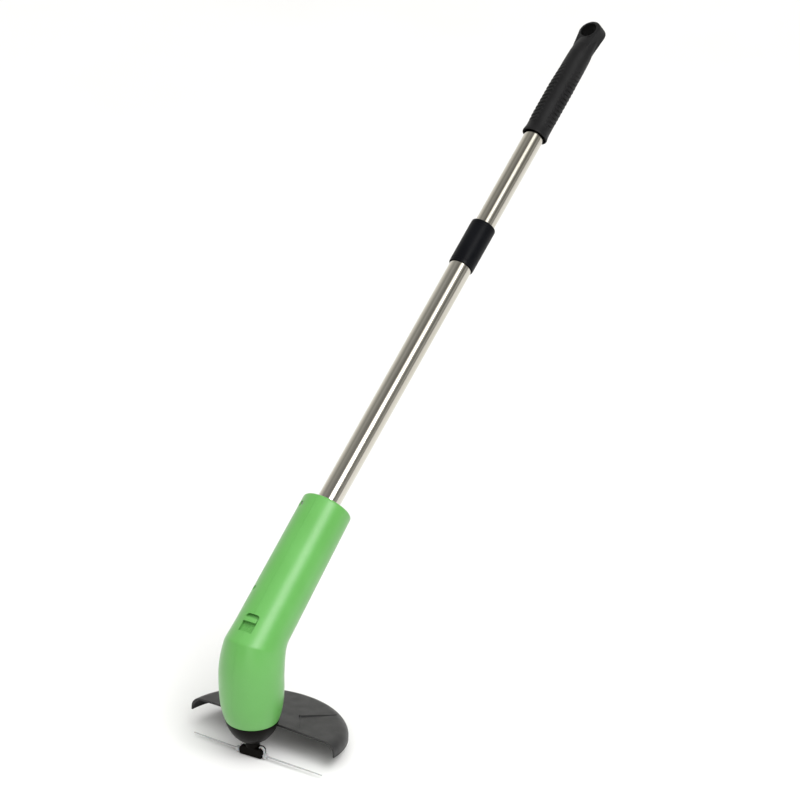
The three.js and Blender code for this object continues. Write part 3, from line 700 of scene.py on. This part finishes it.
def screw_hole(screw):
    """The head's recess in the near half, and the screw's bore from there into the far half."""
    start = SCREW["head_x"]
    outline = [
        (0, -40), (SCREW["recess"], -40), (SCREW["recess"], start), (SCREW["bore"], start),
        (SCREW["bore"], SCREW["tip_x"] + 2), (0, SCREW["tip_x"] + 2),
    ]
    return lathe("hole", outline, 48, screw["place"] @ cross_place(screw["y"], screw["z"]))


def window_outline():
    """The switch's window: widely rounded upper corners, small lower ones. [x, z] in the body's frame."""
    half, low, high = SWITCH["half_width"], SWITCH["low"], SWITCH["high"]
    return rounded_loop([
        (0, low, 0), (half, low, 1), (half, high, 3.4), (-half, high, 3.4), (-half, low, 1), (0, low, 0),
    ], 6)


def switch_window():
    return slab("window", window_outline(), -45, -20, BODY)


def switch_frame():
    """The thick rim round the window; its back clears the pips that slide behind it."""
    rim = SWITCH["rim"]
    half = SWITCH["half_width"] + rim
    tall = (SWITCH["low"] - rim, SWITCH["high"] + rim)
    back = SWITCH["plate_y"] - PIP["height"] - 0.2
    return box("switch_frame", (-half, half), (-45, back), tall, BODY)


def door_cutter(margin):
    half = DOOR["half_width"] - margin
    tall = (DOOR["start"] + margin, DOOR["end"] - margin)
    return box("door_cutter", (-half, half), (DOOR["near_y"], 60), tall, BODY)


def housing_shell(skin, hollow):
    """The skin less its hollow; the bosses and the switch's thick frame are left standing in the hollow."""
    room = cut(copy_of(hollow, "room"), switch_frame(), *(screw_boss(screw) for screw in HOUSING_SCREWS))
    shell = cut(copy_of(skin, "shell"), room)
    for screw in HOUSING_SCREWS:
        cut(shell, screw_hole(screw))
    pole_hole = rod("pole_hole", LOWER_TUBE["radius"] + 0.4, LOWER_TUBE["start"] - 2, 190, POLE, FINE)
    return cut(shell, pole_hole, switch_window(), door_cutter(0))


def add_housing(materials):
    skin = ring_skin("skin", skin_rings(0, 1.5), SIDES)
    hollow = ring_skin("hollow", skin_rings(WALL, 4), 96)
    shell = housing_shell(skin, hollow)
    right = copy_of(shell, "housing_right")
    overlap(right, box("half", (SEAM, 60), (-60, 260), (0, 300)))
    left = overlap(shell, box("half", (-60, -SEAM), (-60, 260), (0, 300)))
    left.name = "housing_left"
    stand_in(left, materials, "green_plastic", "housing", "left_housing_shell")
    stand_in(right, materials, "green_plastic", "housing", "right_housing_shell")
    door = overlap(cut(skin, hollow), door_cutter(DOOR["gap"]))
    door.name = "door_panel"
    stand_in(door, materials, "green_plastic", "door", "battery_door")


# ---- Slide switch ----
def pip_field():
    """Rows of small four-sided points on the switch's plate, each row set off by half a pitch."""
    plate_y, half, pitch = SWITCH["plate_y"], PIP["half_width"], PIP["pitch"]
    points = []
    faces = []
    for row in range(PIP["rows"]):
        for column in range(PIP["columns"]):
            x = (column - PIP["columns"] // 2) * pitch + (row % 2) * pitch / 2 - pitch / 4
            z = SWITCH["low"] + 1.6 + row * pitch
            first = len(points)
            for dx, dz in ((-half, -half), (half, -half), (half, half), (-half, half)):
                points.append((x + dx, plate_y + 0.2, z + dz))
            points.append((x, plate_y - PIP["height"], z))
            faces += [(first, first + 1, first + 2, first + 3)]
            faces += [(first + a, first + b, first + 4) for a, b in ((1, 0), (2, 1), (3, 2), (0, 3))]
    return make_object("pips", points, faces, BODY)


def add_switch(materials):
    """A plate behind the window, with a raised thumb bar and a field of small raised pips below it."""
    plate_y, plate_back = SWITCH["plate_y"], SWITCH["plate_back"]
    half = SWITCH["half_width"] + 0.7
    tall = (SWITCH["low"] - 1, SWITCH["high"] + SWITCH["travel"] + 1)
    slider = box("switch_thumb", (-half, half), (plate_y, plate_back), tall, BODY)
    bar_half = SWITCH["half_width"] - 0.4
    low, high, crown = THUMB_BAR["low"], THUMB_BAR["high"], THUMB_BAR["crown"]
    profile = rounded_loop([
        (0, low, 0), (bar_half, low, 0.8), (bar_half, high, 0.8),
        (-bar_half, high, 0.8), (-bar_half, low, 0.8), (0, low, 0),
    ])
    bar = slab("bar", profile, -33, plate_y + 0.5, BODY)
    overlap(bar, lathe("crown", [(0, 15), (crown, 15), (crown, 32), (0, 32)], 240, BODY))
    soften(bar, 0.5, 3, 50)
    stem = box("stem", (-2.5, 2.5), (plate_back - 0.5, plate_back + 3), (22, 25), BODY)
    join(slider, bar, stem)
    join(slider, pip_field())
    stand_in(slider, materials, "green_plastic", "slider", "switch_slider")


# ---- Nose cap, guard and their screws ----
def cap_side(margin, count):
    """The nose cap's side as a cubic curve from its low edge to its high one."""
    ends = [(CAP["low_radius"], CAP["low"]), (18, 20), (26.5, 33.5), (CAP["high_radius"], CAP["high"])]
    points = []
    for t in steps(0, 1, count):
        weights = ((1 - t) ** 3, 3 * t * (1 - t) ** 2, 3 * t * t * (1 - t), t ** 3)
        radius = sum(weight * end[0] for weight, end in zip(weights, ends))
        points.append((radius + margin, sum(weight * end[1] for weight, end in zip(weights, ends))))
    return points


def add_nose_cap(materials):
    low, high = CAP["low"], CAP["high"]
    outside = cap_side(0, 28)
    inside = cap_side(-CAP["wall"], 12)[::-1][1:-1]
    edge, bore, spigot = CAP["low_radius"], 2.6, 24.9
    profile = [(bore, low), (edge - 0.6, low), (edge - 0.15, low + 0.2), *outside[1:]]
    profile += [(CAP["high_radius"] - 0.1, high), (spigot, high), (spigot, high + 2.9)]
    profile += [(spigot - 1.9, high + 2.9), (spigot - 1.9, high - 2), *inside]
    profile += [(edge, low + CAP["wall"]), (bore, low + CAP["wall"])]
    cap = lathe("nose_cone", profile, FINE)
    core = lathe("core", [(0, low), *outside, (0, high)], FINE)
    for x in GUARD_SCREWS:
        boss = rod("boss", 3.2, 8, 24, depth_place(x, GUARD_SCREW_HEIGHT))
        join(cap, overlap(boss, core, keep=True))
    for x in GUARD_SCREWS:
        cut(cap, rod("bore", GUARD_SCREW_BORE, 7, 40, depth_place(x, GUARD_SCREW_HEIGHT)))
    remove(core)
    stand_in(cap, materials, "cap_plastic", "housing", "nose_cap")


def guard_profile():
    """A slightly crowned plate, a wide round shoulder and a short skirt with a fine line near its edge."""
    radius, crown, shoulder, wall = GUARD["radius"], DISH["crown"], DISH["shoulder"], DISH["wall"]
    low = -DISH["depth"]

    def plate(share, drop):
        return (radius - shoulder) * share, -crown * share ** 2 - drop

    def bend(size, turn):
        return radius - shoulder + size * math.sin(turn), -crown - shoulder + size * math.cos(turn)

    outer = [plate(share, 0) for share in steps(0, 1, 24)]
    outer += [bend(shoulder, turn) for turn in steps(0, math.pi / 2, 14)[1:]]
    line = [(radius, low + 2.3), (radius - 0.35, low + 2.1), (radius - 0.35, low + 1.7), (radius, low + 1.5)]
    edge = [(radius, low + 0.5), (radius - 0.5, low), (radius - wall + 0.5, low), (radius - wall, low + 0.5)]
    inner = [bend(shoulder - wall, turn) for turn in steps(math.pi / 2, 0, 14)]
    inner += [plate(share, wall) for share in steps(1, 0, 24)[1:]]
    return outer + line + edge + inner


def ridge_bar(name, start, end, wide, height):
    """A low ridge on the guard's plate that thins out from one end to the other."""
    first, last = Vector(start), Vector(end)
    along = (last - first).normalized()
    across = Vector((-along.y, along.x))
    points = []
    for share in steps(0, 1, 16):
        centre = first.lerp(last, share)
        half = wide / 2 * (1 - 0.6 * share)
        base = -DISH["crown"] * (centre.length / (GUARD["radius"] - DISH["shoulder"])) ** 2
        top = base + height * (1 - 0.7 * share)
        foot = base - 0.8
        for offset, level in ((-half, foot), (-half * 0.55, top), (half * 0.55, top), (half, foot)):
            points.append((*(centre + across * offset), level))
    return stack(name, points, 4, DISH_PLACE)


def add_guard(materials):
    guard = lathe("guard_disc", guard_profile(), 240, DISH_PLACE)
    overlap(guard, box("front", (-110, 110), (DISH["chord"], 110), (-40, 10), DISH_PLACE))
    half, low, high = BRACKET["half_width"], BRACKET["low"], BRACKET["high"]
    corners = rounded_loop([
        (0, low, 0), (half, low, 2), (half, high, 0.2), (-half, high, 0.2), (-half, low, 2), (0, low, 0),
    ])
    bracket = slab("bracket", corners, 12, BRACKET["back"])
    ridge = ridge_bar("ridge", (24.3, 32.7), (50.6, 63.1), wide=4, height=1.4)
    rib = ridge_bar("rib", (26.2, 32), (40.3, 8.3), wide=1.8, height=0.6)
    join(guard, bracket, ridge, rib)
    room = [(0, CAP["low"] - 2), *cap_side(GAP + 0.2, 16), (0, CAP["high"])]
    cut(guard, lathe("room", room, FINE))
    for x in GUARD_SCREWS:
        place = depth_place(x, GUARD_SCREW_HEIGHT)
        bore = rod("bore", GUARD_SCREW_BORE, 10, 50, place)
        cut(guard, bore, rod("recess", 3, BRACKET["back"] - 2.5, 40, place))
    stand_in(guard, materials, "guard_plastic", "housing", "guard")


# ---- Tie hub and cutting ties ----
def add_hub(materials):
    half, wide, height = HUB["half_length"], HUB["half_width"], HUB["height"]
    outline = rounded_loop([
        (0, 0, 0), (half, 0, 0.8), (half, height - 2.6, 1.2), (half - 2.6, height, 1.2),
        (-half + 2.6, height, 1.2), (-half, height - 2.6, 1.2), (-half, 0, 0.8), (0, 0, 0),
    ])
    hub = slab("tie_hub", outline, -wide, wide)
    soften(hub, 0.6, 3, 60)
    for side in (-1, 1):
        x = side * HUB["slot"]
        cut(hub, box("slot", (x - 1, x + 1), (-1.7, 1.7), (-1, 11)))
        cut(hub, box("groove", sorted((x, side * 20)), (-1.7, 1.7), (-1, 1.9)))
    cut(hub, rod("bore", SHAFT_RADIUS + GAP, 2, 12))
    hub.data.transform(HUB_PLACE)
    stand_in(hub, materials, "cap_plastic", "spindle", "hub")


def strap_loop(half):
    """The strap round the hub's end, as an outline with a hole."""
    thick = TIE["thickness"]
    x0 = HUB["slot"] + thick / 2 + 0.1
    x1 = HUB["half_length"] + GAP
    z0, z1 = 1.5, HUB["height"] + GAP
    middle = (x0 + x1) / 2
    outer = rounded_loop([
        (middle, z0 - thick, 0), (x1 + thick, z0 - thick, 1), (x1 + thick, z1 - 1.8, 1.5),
        (x1 - 1.4, z1 + thick, 1.5), (x0 - thick, z1 + thick, 1), (x0 - thick, z0 - thick, 1),
        (middle, z0 - thick, 0),
    ])
    inner = [(x0, z0), (x1, z0), (x1, z1 - 2.4), (x1 - 2.4, z1), (x0, z1)]
    return cut(slab("strap_loop", outer, -half, half), slab("space", inner, -2 * half, 2 * half))


def add_tie(name, tip, sweep, place, materials, cad_node):
    """A loop through the hub's slot, a rounded head, and a toothed strap out to its thin tip."""
    half = TIE["width"] / 2
    thick = TIE["thickness"]
    tie = strap_loop(half)
    start = HUB["half_length"] + GAP + thick - 0.2
    head = box("head", (start, start + 4.2), (-4.4, half - 0.1), (0.4, 5.2))
    soften(head, 0.7, 3)
    cut(head, box("mouth", (start + 2.2, start + 6), (-3.3, -2.2), (2.4, 4.7)))
    outline = [(start + 3, -3.8), (tip, sweep - 3.1), (tip, sweep - 2.3), (start + 3, -1.6)]
    low = TIE["height"]
    strap = stack("strap", [(x, y, z) for z in (low, low + thick) for x, y in outline], len(outline))
    soften(strap, 0.25, 2)
    teeth = tooth_row(start + 3, tip, sweep)
    join(tie, head, strap, teeth)
    tie.name = name
    tie.data.transform(place)
    if place.determinant() < 0:
        tie.data.flip_normals()
    stand_in(tie, materials, "tie_nylon", "spindle", cad_node)


def tooth_row(start, tip, sweep):
    """Fine teeth across the strap's upper face, from just past the head to near the tip."""
    points = []
    faces = []
    base = TIE["height"] + TIE["thickness"] - 0.15
    pitch = 1.1
    for index in range(3, int((tip - 12 - start) / pitch)):
        x = start + index * pitch
        share = (x - start) / (tip - start)
        middle = -2.7 + sweep * share
        half = lerp(1.1, 0.4, share) * 0.6
        first = len(points)
        for y in (middle - half, middle + half):
            points += [(x, y, base), (x + pitch * 0.8, y, base), (x + pitch * 0.8, y, base + 0.35)]
        wedge = ((0, 2, 1), (3, 4, 5), (0, 1, 4, 3), (1, 2, 5, 4), (2, 0, 3, 5))
        faces += [tuple(first + corner for corner in face) for face in wedge]
    return make_object("teeth", points, faces)


def add_spindle_parts(materials):
    add_hub(materials)
    add_tie("tie_right", TIE["right_tip"], TIE["right_sweep"], HUB_PLACE, materials, "cutting_tie_right")
    mirrored = HUB_PLACE @ Matrix.Scale(-1, 4, (1, 0, 0))
    add_tie("tie_left", TIE["left_tip"], TIE["left_sweep"], mirrored, materials, "cutting_tie_left")
    low, high = HUB["height"] + GAP, BUSH["high"]
    bore, radius = SHAFT_RADIUS + GAP, BUSH["radius"]
    profile = rounded_loop([
        (bore, low, 0), (radius, low, 0.5), (radius, high, 0.6), (bore, high, 0), (bore, low, 0),
    ])
    bush = lathe("bush", profile, 64)
    stand_in(bush, materials, "cap_plastic", "spindle", "hub_bush")


# ---- Pole ----
def tube(name, spec):
    inner = spec["radius"] - spec["wall"]
    edge = 0.25
    profile = rounded_loop([
        (inner, spec["start"] + 5, 0), (inner, spec["start"], edge), (spec["radius"], spec["start"], edge),
        (spec["radius"], spec["end"], edge), (inner, spec["end"], edge), (inner, spec["start"] + 5, 0),
    ], 3)
    return lathe(name, profile, 128, POLE)


def add_tubes(materials):
    lower = tube("tube_lower", LOWER_TUBE)
    cut(lower, rod("pin_hole", 1.8, -20, 20, POLE @ cross_place(0, TUBE_PIN)))
    stand_in(lower, materials, "pole_steel", "housing", "lower_tube")
    stand_in(tube("tube_upper", UPPER_TUBE), materials, "pole_steel", "handle", "upper_tube")


def add_collar(materials):
    """The twist lock's outer sleeve: an eased lower end, a round top edge, a shallow groove near each end."""
    radius, start, end = COLLAR["radius"], COLLAR["start"], COLLAR["end"]
    bore = LOWER_TUBE["radius"] + GAP
    neck = UPPER_TUBE["radius"] + GAP
    step = LOWER_TUBE["end"] + GAP
    profile = rounded_loop([
        (bore, start + 12, 0), (bore, start + 6, 0.3), (bore + 0.7, start, 0.25), (radius - 0.3, start, 0.4),
        (radius, start + 3, 0.5), (radius, start + 4, 0.15), (radius - 0.3, start + 4.3, 0.1),
        (radius, start + 4.6, 0.15), (radius, end - 5.6, 0.15), (radius - 0.35, end - 5.2, 0.1),
        (radius - 0.05, end - 4.8, 0.15), (radius - 0.1, end, 1.4), (neck, end, 0.4), (neck, step, 0),
        (bore, step, 0), (bore, start + 12, 0),
    ], 5)
    collar = lathe("collar_sleeve", profile, 128, POLE)
    stand_in(collar, materials, "collar_plastic", "housing", "collar")


# ---- Grip ----
def grip_rings():
    """The grip's rings between stations of (distance, half width, half depth)."""
    start = GRIP["start"]
    stations = [
        (0, 14.2, 14.2), (1, 14.6, 14.6), (3, 14.3, 14.3), (6, 13.8, 13.8), (9, 13.5, 13.5), (18, 13.4, 13.4),
        (62, 13.3, 13.3), (96, 13.1, 13.1), (112, 12.9, 12.3), (123, 12.7, 10.4), (133, 12.8, 7.7),
    ]
    rings = []
    for (low, side0, deep0), (high, side1, deep1) in zip(stations, stations[1:]):
        count = max(1, round((high - low) / 1.5))
        for share in steps(0, 1, count)[:-1]:
            side, deep = lerp(side0, side1, share), lerp(deep0, deep1, share)
            rings.append((0, start + lerp(low, high, share), 0, side, deep, deep))
    length, side, deep = stations[-1]
    rings.append((0, start + length, 0, side, deep, deep))
    return rings


def eye_arc(margin, width, length, end):
    """Part of an ellipse round the eye's centre, from +X round to an angle. [x, z] in the grip's frame."""
    across, along = width / 2 + margin, length / 2 + margin
    return [(across * math.cos(turn), EYE["centre"] + along * math.sin(turn)) for turn in steps(0, end, 48)]


def eye_hole(margin):
    return eye_arc(margin, EYE["hole_width"], EYE["hole_length"], 2 * math.pi)[:-1]


def eye_loop():
    """The flat loop, with thin raised rims round both mouths of its hole."""
    low = GRIP["start"] + 110
    outline = [*eye_arc(0, EYE["width"], EYE["length"], math.pi), (-9.5, low), (9.5, low)]
    deep = EYE["thickness"] / 2
    loop = slab("loop", outline, -deep, deep, HANDLE)
    soften(loop, 1.6, 4, 60)
    return join(loop, slab("rim", eye_hole(0.9), -deep - 0.6, deep + 0.6, HANDLE))


def rib_boxes(name, count, shape):
    """One leaning box for each rib, or for each groove between two, in two rows along the grip."""
    start = GRIP["start"] + RIBS["first"]
    lean = Matrix.Rotation(RIBS["lean"], 4, "X")
    across, half = (shape["inner"], RIBS["outer"]), RIBS["half_width"]
    boxes = []
    for index in range(count):
        lift = Matrix.Translation((0, 0, start + index * RIBS["pitch"]))
        for turn in RIBS["rows"]:
            row = Matrix.Rotation(math.radians(turn), 4, "Z") @ lift
            boxes.append(box(name, across, (-half, half), (shape["low"], shape["high"]), HANDLE @ row @ lean))
    return boxes


def rib_teeth():
    """Short ribs, leaning a little, that sink into the grip towards both ends of their row."""
    start = GRIP["start"] + RIBS["first"]
    length = RIBS["count"] * RIBS["pitch"]
    end = start + length
    reach = [(0, start - 8), (13, start - 8), (14.3, start + 12), (14.3, end - 30), (12.9, end), (0, end)]
    teeth = join(*rib_boxes("tooth", RIBS["count"], TOOTH))
    return overlap(teeth, lathe("reach", reach, FINE, HANDLE))


def rib_grooves():
    """Shallow grooves between the ribs."""
    return join(*rib_boxes("groove", RIBS["count"] - 1, GROOVE))


def paint_eye_shade(grip, material):
    """Paints shade into the eye's bore: gives the faces inside it a second, near-black material in place of
    the shade there.
    """
    grip.data.materials.append(material)
    across, along = EYE["hole_width"] / 2, EYE["hole_length"] / 2
    back = HANDLE.inverted()
    for face in grip.data.polygons:
        x, y, z = back @ (face.center / MM)
        if (x / across) ** 2 + ((z - EYE["centre"]) / along) ** 2 < 1 and abs(y) < EYE["thickness"] / 2:
            face.material_index = 1


def add_grip(materials):
    """The shaft, eye and ribs are joined and cut, then melted into one skin so that their edges are soft."""
    start = GRIP["start"]
    grip = ring_skin("grip_sleeve", grip_rings(), 96, HANDLE)
    join(grip, eye_loop(), rib_teeth())
    hole = slab("eye_hole", eye_hole(-EYE_BORE_INSET), -20, 20, HANDLE)
    bore = rod("bore", UPPER_TUBE["radius"] + GAP, start - 1, UPPER_TUBE["end"] + 1, POLE, FINE)
    wide, narrow = GRIP["mouth"]
    end = start + GRIP["mouth_depth"]
    mouth = lathe("mouth", [
        (0, start - 1), (wide, start - 1), (narrow, start + 2.5), (UPPER_TUBE["radius"], end), (0, end),
    ], FINE, POLE)
    cut(grip, hole, bore, mouth, rib_grooves())
    melt = grip.modifiers.new("melt", "REMESH")
    melt.mode = "VOXEL"
    melt.voxel_size = GRIP["voxel"] * MM
    relax = grip.modifiers.new("relax", "SMOOTH")
    relax.factor = 0.5
    relax.iterations = 2
    bake(grip)
    stand_in(grip, materials, "grip_rubber", "handle", "grip", angle=80)
    # Painted shade: the faces inside the eye's hole get the near-black material.
    paint_eye_shade(grip, materials["eye_painted_shade"])


# ---- CAD nodes that stay as they are ----
def finish_cad_nodes(materials):
    """Gives each carried-over CAD node its slot's material and smooth round faces."""
    for subpart in frame["record"]["subparts"]:
        node = nodes[subpart["node"]]
        if node.hide_render:
            continue
        node.data.materials.clear()
        node.data.materials.append(materials[subpart["material_slot"]])
        node.data.shade_smooth()
        node.data.set_sharp_from_angle(angle=math.radians(40))


# ---- Floor and light ----
def add_floor():
    """A pale flat floor just below the hub, wide enough that no view sees its edge."""
    reach = 25000
    rings = [(0, -1), (reach, -1), (reach, -30), (0, -30)]
    floor = lathe("floor", rings, 64, Matrix.Translation((0, 300, 0)))
    made = Nodes("floor_paper")
    tint = made.noise(made.place, 3, 3)
    colour = made.two_tone(tint, (0.80, 0.80, 0.80), (0.83, 0.83, 0.83))
    normal = made.bump(made.noise(made.place, 900, 2), 0.02, 0.3)
    made.set(colour=colour, roughness=0.9, normal=normal)
    floor.data.materials.append(made.material)


def soft_light(name, power, size, target, azimuth, elevation, distance, mirrored=True):
    """A square soft box that faces the target from a direction; shiny faces may or may not mirror it."""
    data = bpy.data.lights.new(name, "AREA")
    data.energy = power
    data.size = size
    lamp = bpy.data.objects.new(name, data)
    turn, rise = math.radians(azimuth), math.radians(elevation)
    away = Vector((math.sin(turn) * math.cos(rise), -math.cos(turn) * math.cos(rise), math.sin(rise)))
    lamp.location = Vector(target) + away * distance
    lamp.rotation_euler = (-away).to_track_quat("-Z", "Y").to_euler()
    lamp.visible_glossy = mirrored
    bpy.context.scene.collection.objects.link(lamp)


# Brightness of the studio round the pole's axis: a share of a turn, then a level. Half a turn is the
# camera's side.
STUDIO = (
    (0.0, 1.0), (0.15, 0.95), (0.23, 0.62), (0.28, 0.34), (0.33, 0.42), (0.40, 0.27), (0.455, 0.16),
    (0.48, 1.7), (0.525, 1.7), (0.56, 0.5), (0.60, 0.16), (0.66, 0.42), (0.74, 0.28), (0.82, 0.6),
    (0.90, 1.0),
)


def add_world():
    """A pale studio with soft dark and bright cards round the pole, for the steel to reflect."""
    world = bpy.data.worlds.new("studio")
    world.use_nodes = True
    tree = world.node_tree
    direction = tree.nodes.new("ShaderNodeTexCoord").outputs["Generated"]
    turn = tree.nodes.new("ShaderNodeMapping")
    turn.vector_type = "POINT"
    facing = Matrix.Rotation(math.radians(58), 4, "Z") @ POLE.inverted()
    turn.inputs["Rotation"].default_value = facing.to_euler()
    around = tree.nodes.new("ShaderNodeTexGradient")
    around.gradient_type = "RADIAL"
    cards = tree.nodes.new("ShaderNodeValToRGB")
    cards.color_ramp.interpolation = "EASE"
    elements = cards.color_ramp.elements
    while len(elements) < len(STUDIO):
        elements.new(0.5)
    peak = max(level for _, level in STUDIO)
    for element, (position, level) in zip(elements, STUDIO):
        share = level / peak
        element.position = position
        element.color = (share, share * 0.99, share * 0.95, 1)
    background = tree.nodes["Background"]
    background.inputs["Strength"].default_value = peak
    tree.links.new(direction, turn.inputs["Vector"])
    tree.links.new(turn.outputs["Vector"], around.inputs["Vector"])
    tree.links.new(around.outputs["Color"], cards.inputs["Fac"])
    tree.links.new(cards.outputs["Color"], background.inputs["Color"])
    bpy.context.scene.world = world


def soft_sun():
    """Even light from high up, so that the floor stays pale out to its edges."""
    data = bpy.data.lights.new("sun", "SUN")
    data.energy = 1.8
    data.angle = 1.2
    lamp = bpy.data.objects.new("sun", data)
    lamp.rotation_euler = (math.radians(12), math.radians(10), 0)
    lamp.visible_glossy = False
    bpy.context.scene.collection.objects.link(lamp)


def add_light():
    add_world()
    soft_sun()
    bpy.context.scene.view_settings.view_transform = "Standard"
    middle = (0, 0.3, 0.3)
    soft_light("key", 26, 1.2, middle, 65, 45, 2.5)
    soft_light("fill", 8, 2.0, middle, -40, 30, 3.0, mirrored=False)


def build():
    materials = make_materials()
    add_housing(materials)
    add_switch(materials)
    add_nose_cap(materials)
    add_guard(materials)
    add_spindle_parts(materials)
    add_tubes(materials)
    add_collar(materials)
    add_grip(materials)
    finish_cad_nodes(materials)


add_camera()
build()
add_floor()
add_light()
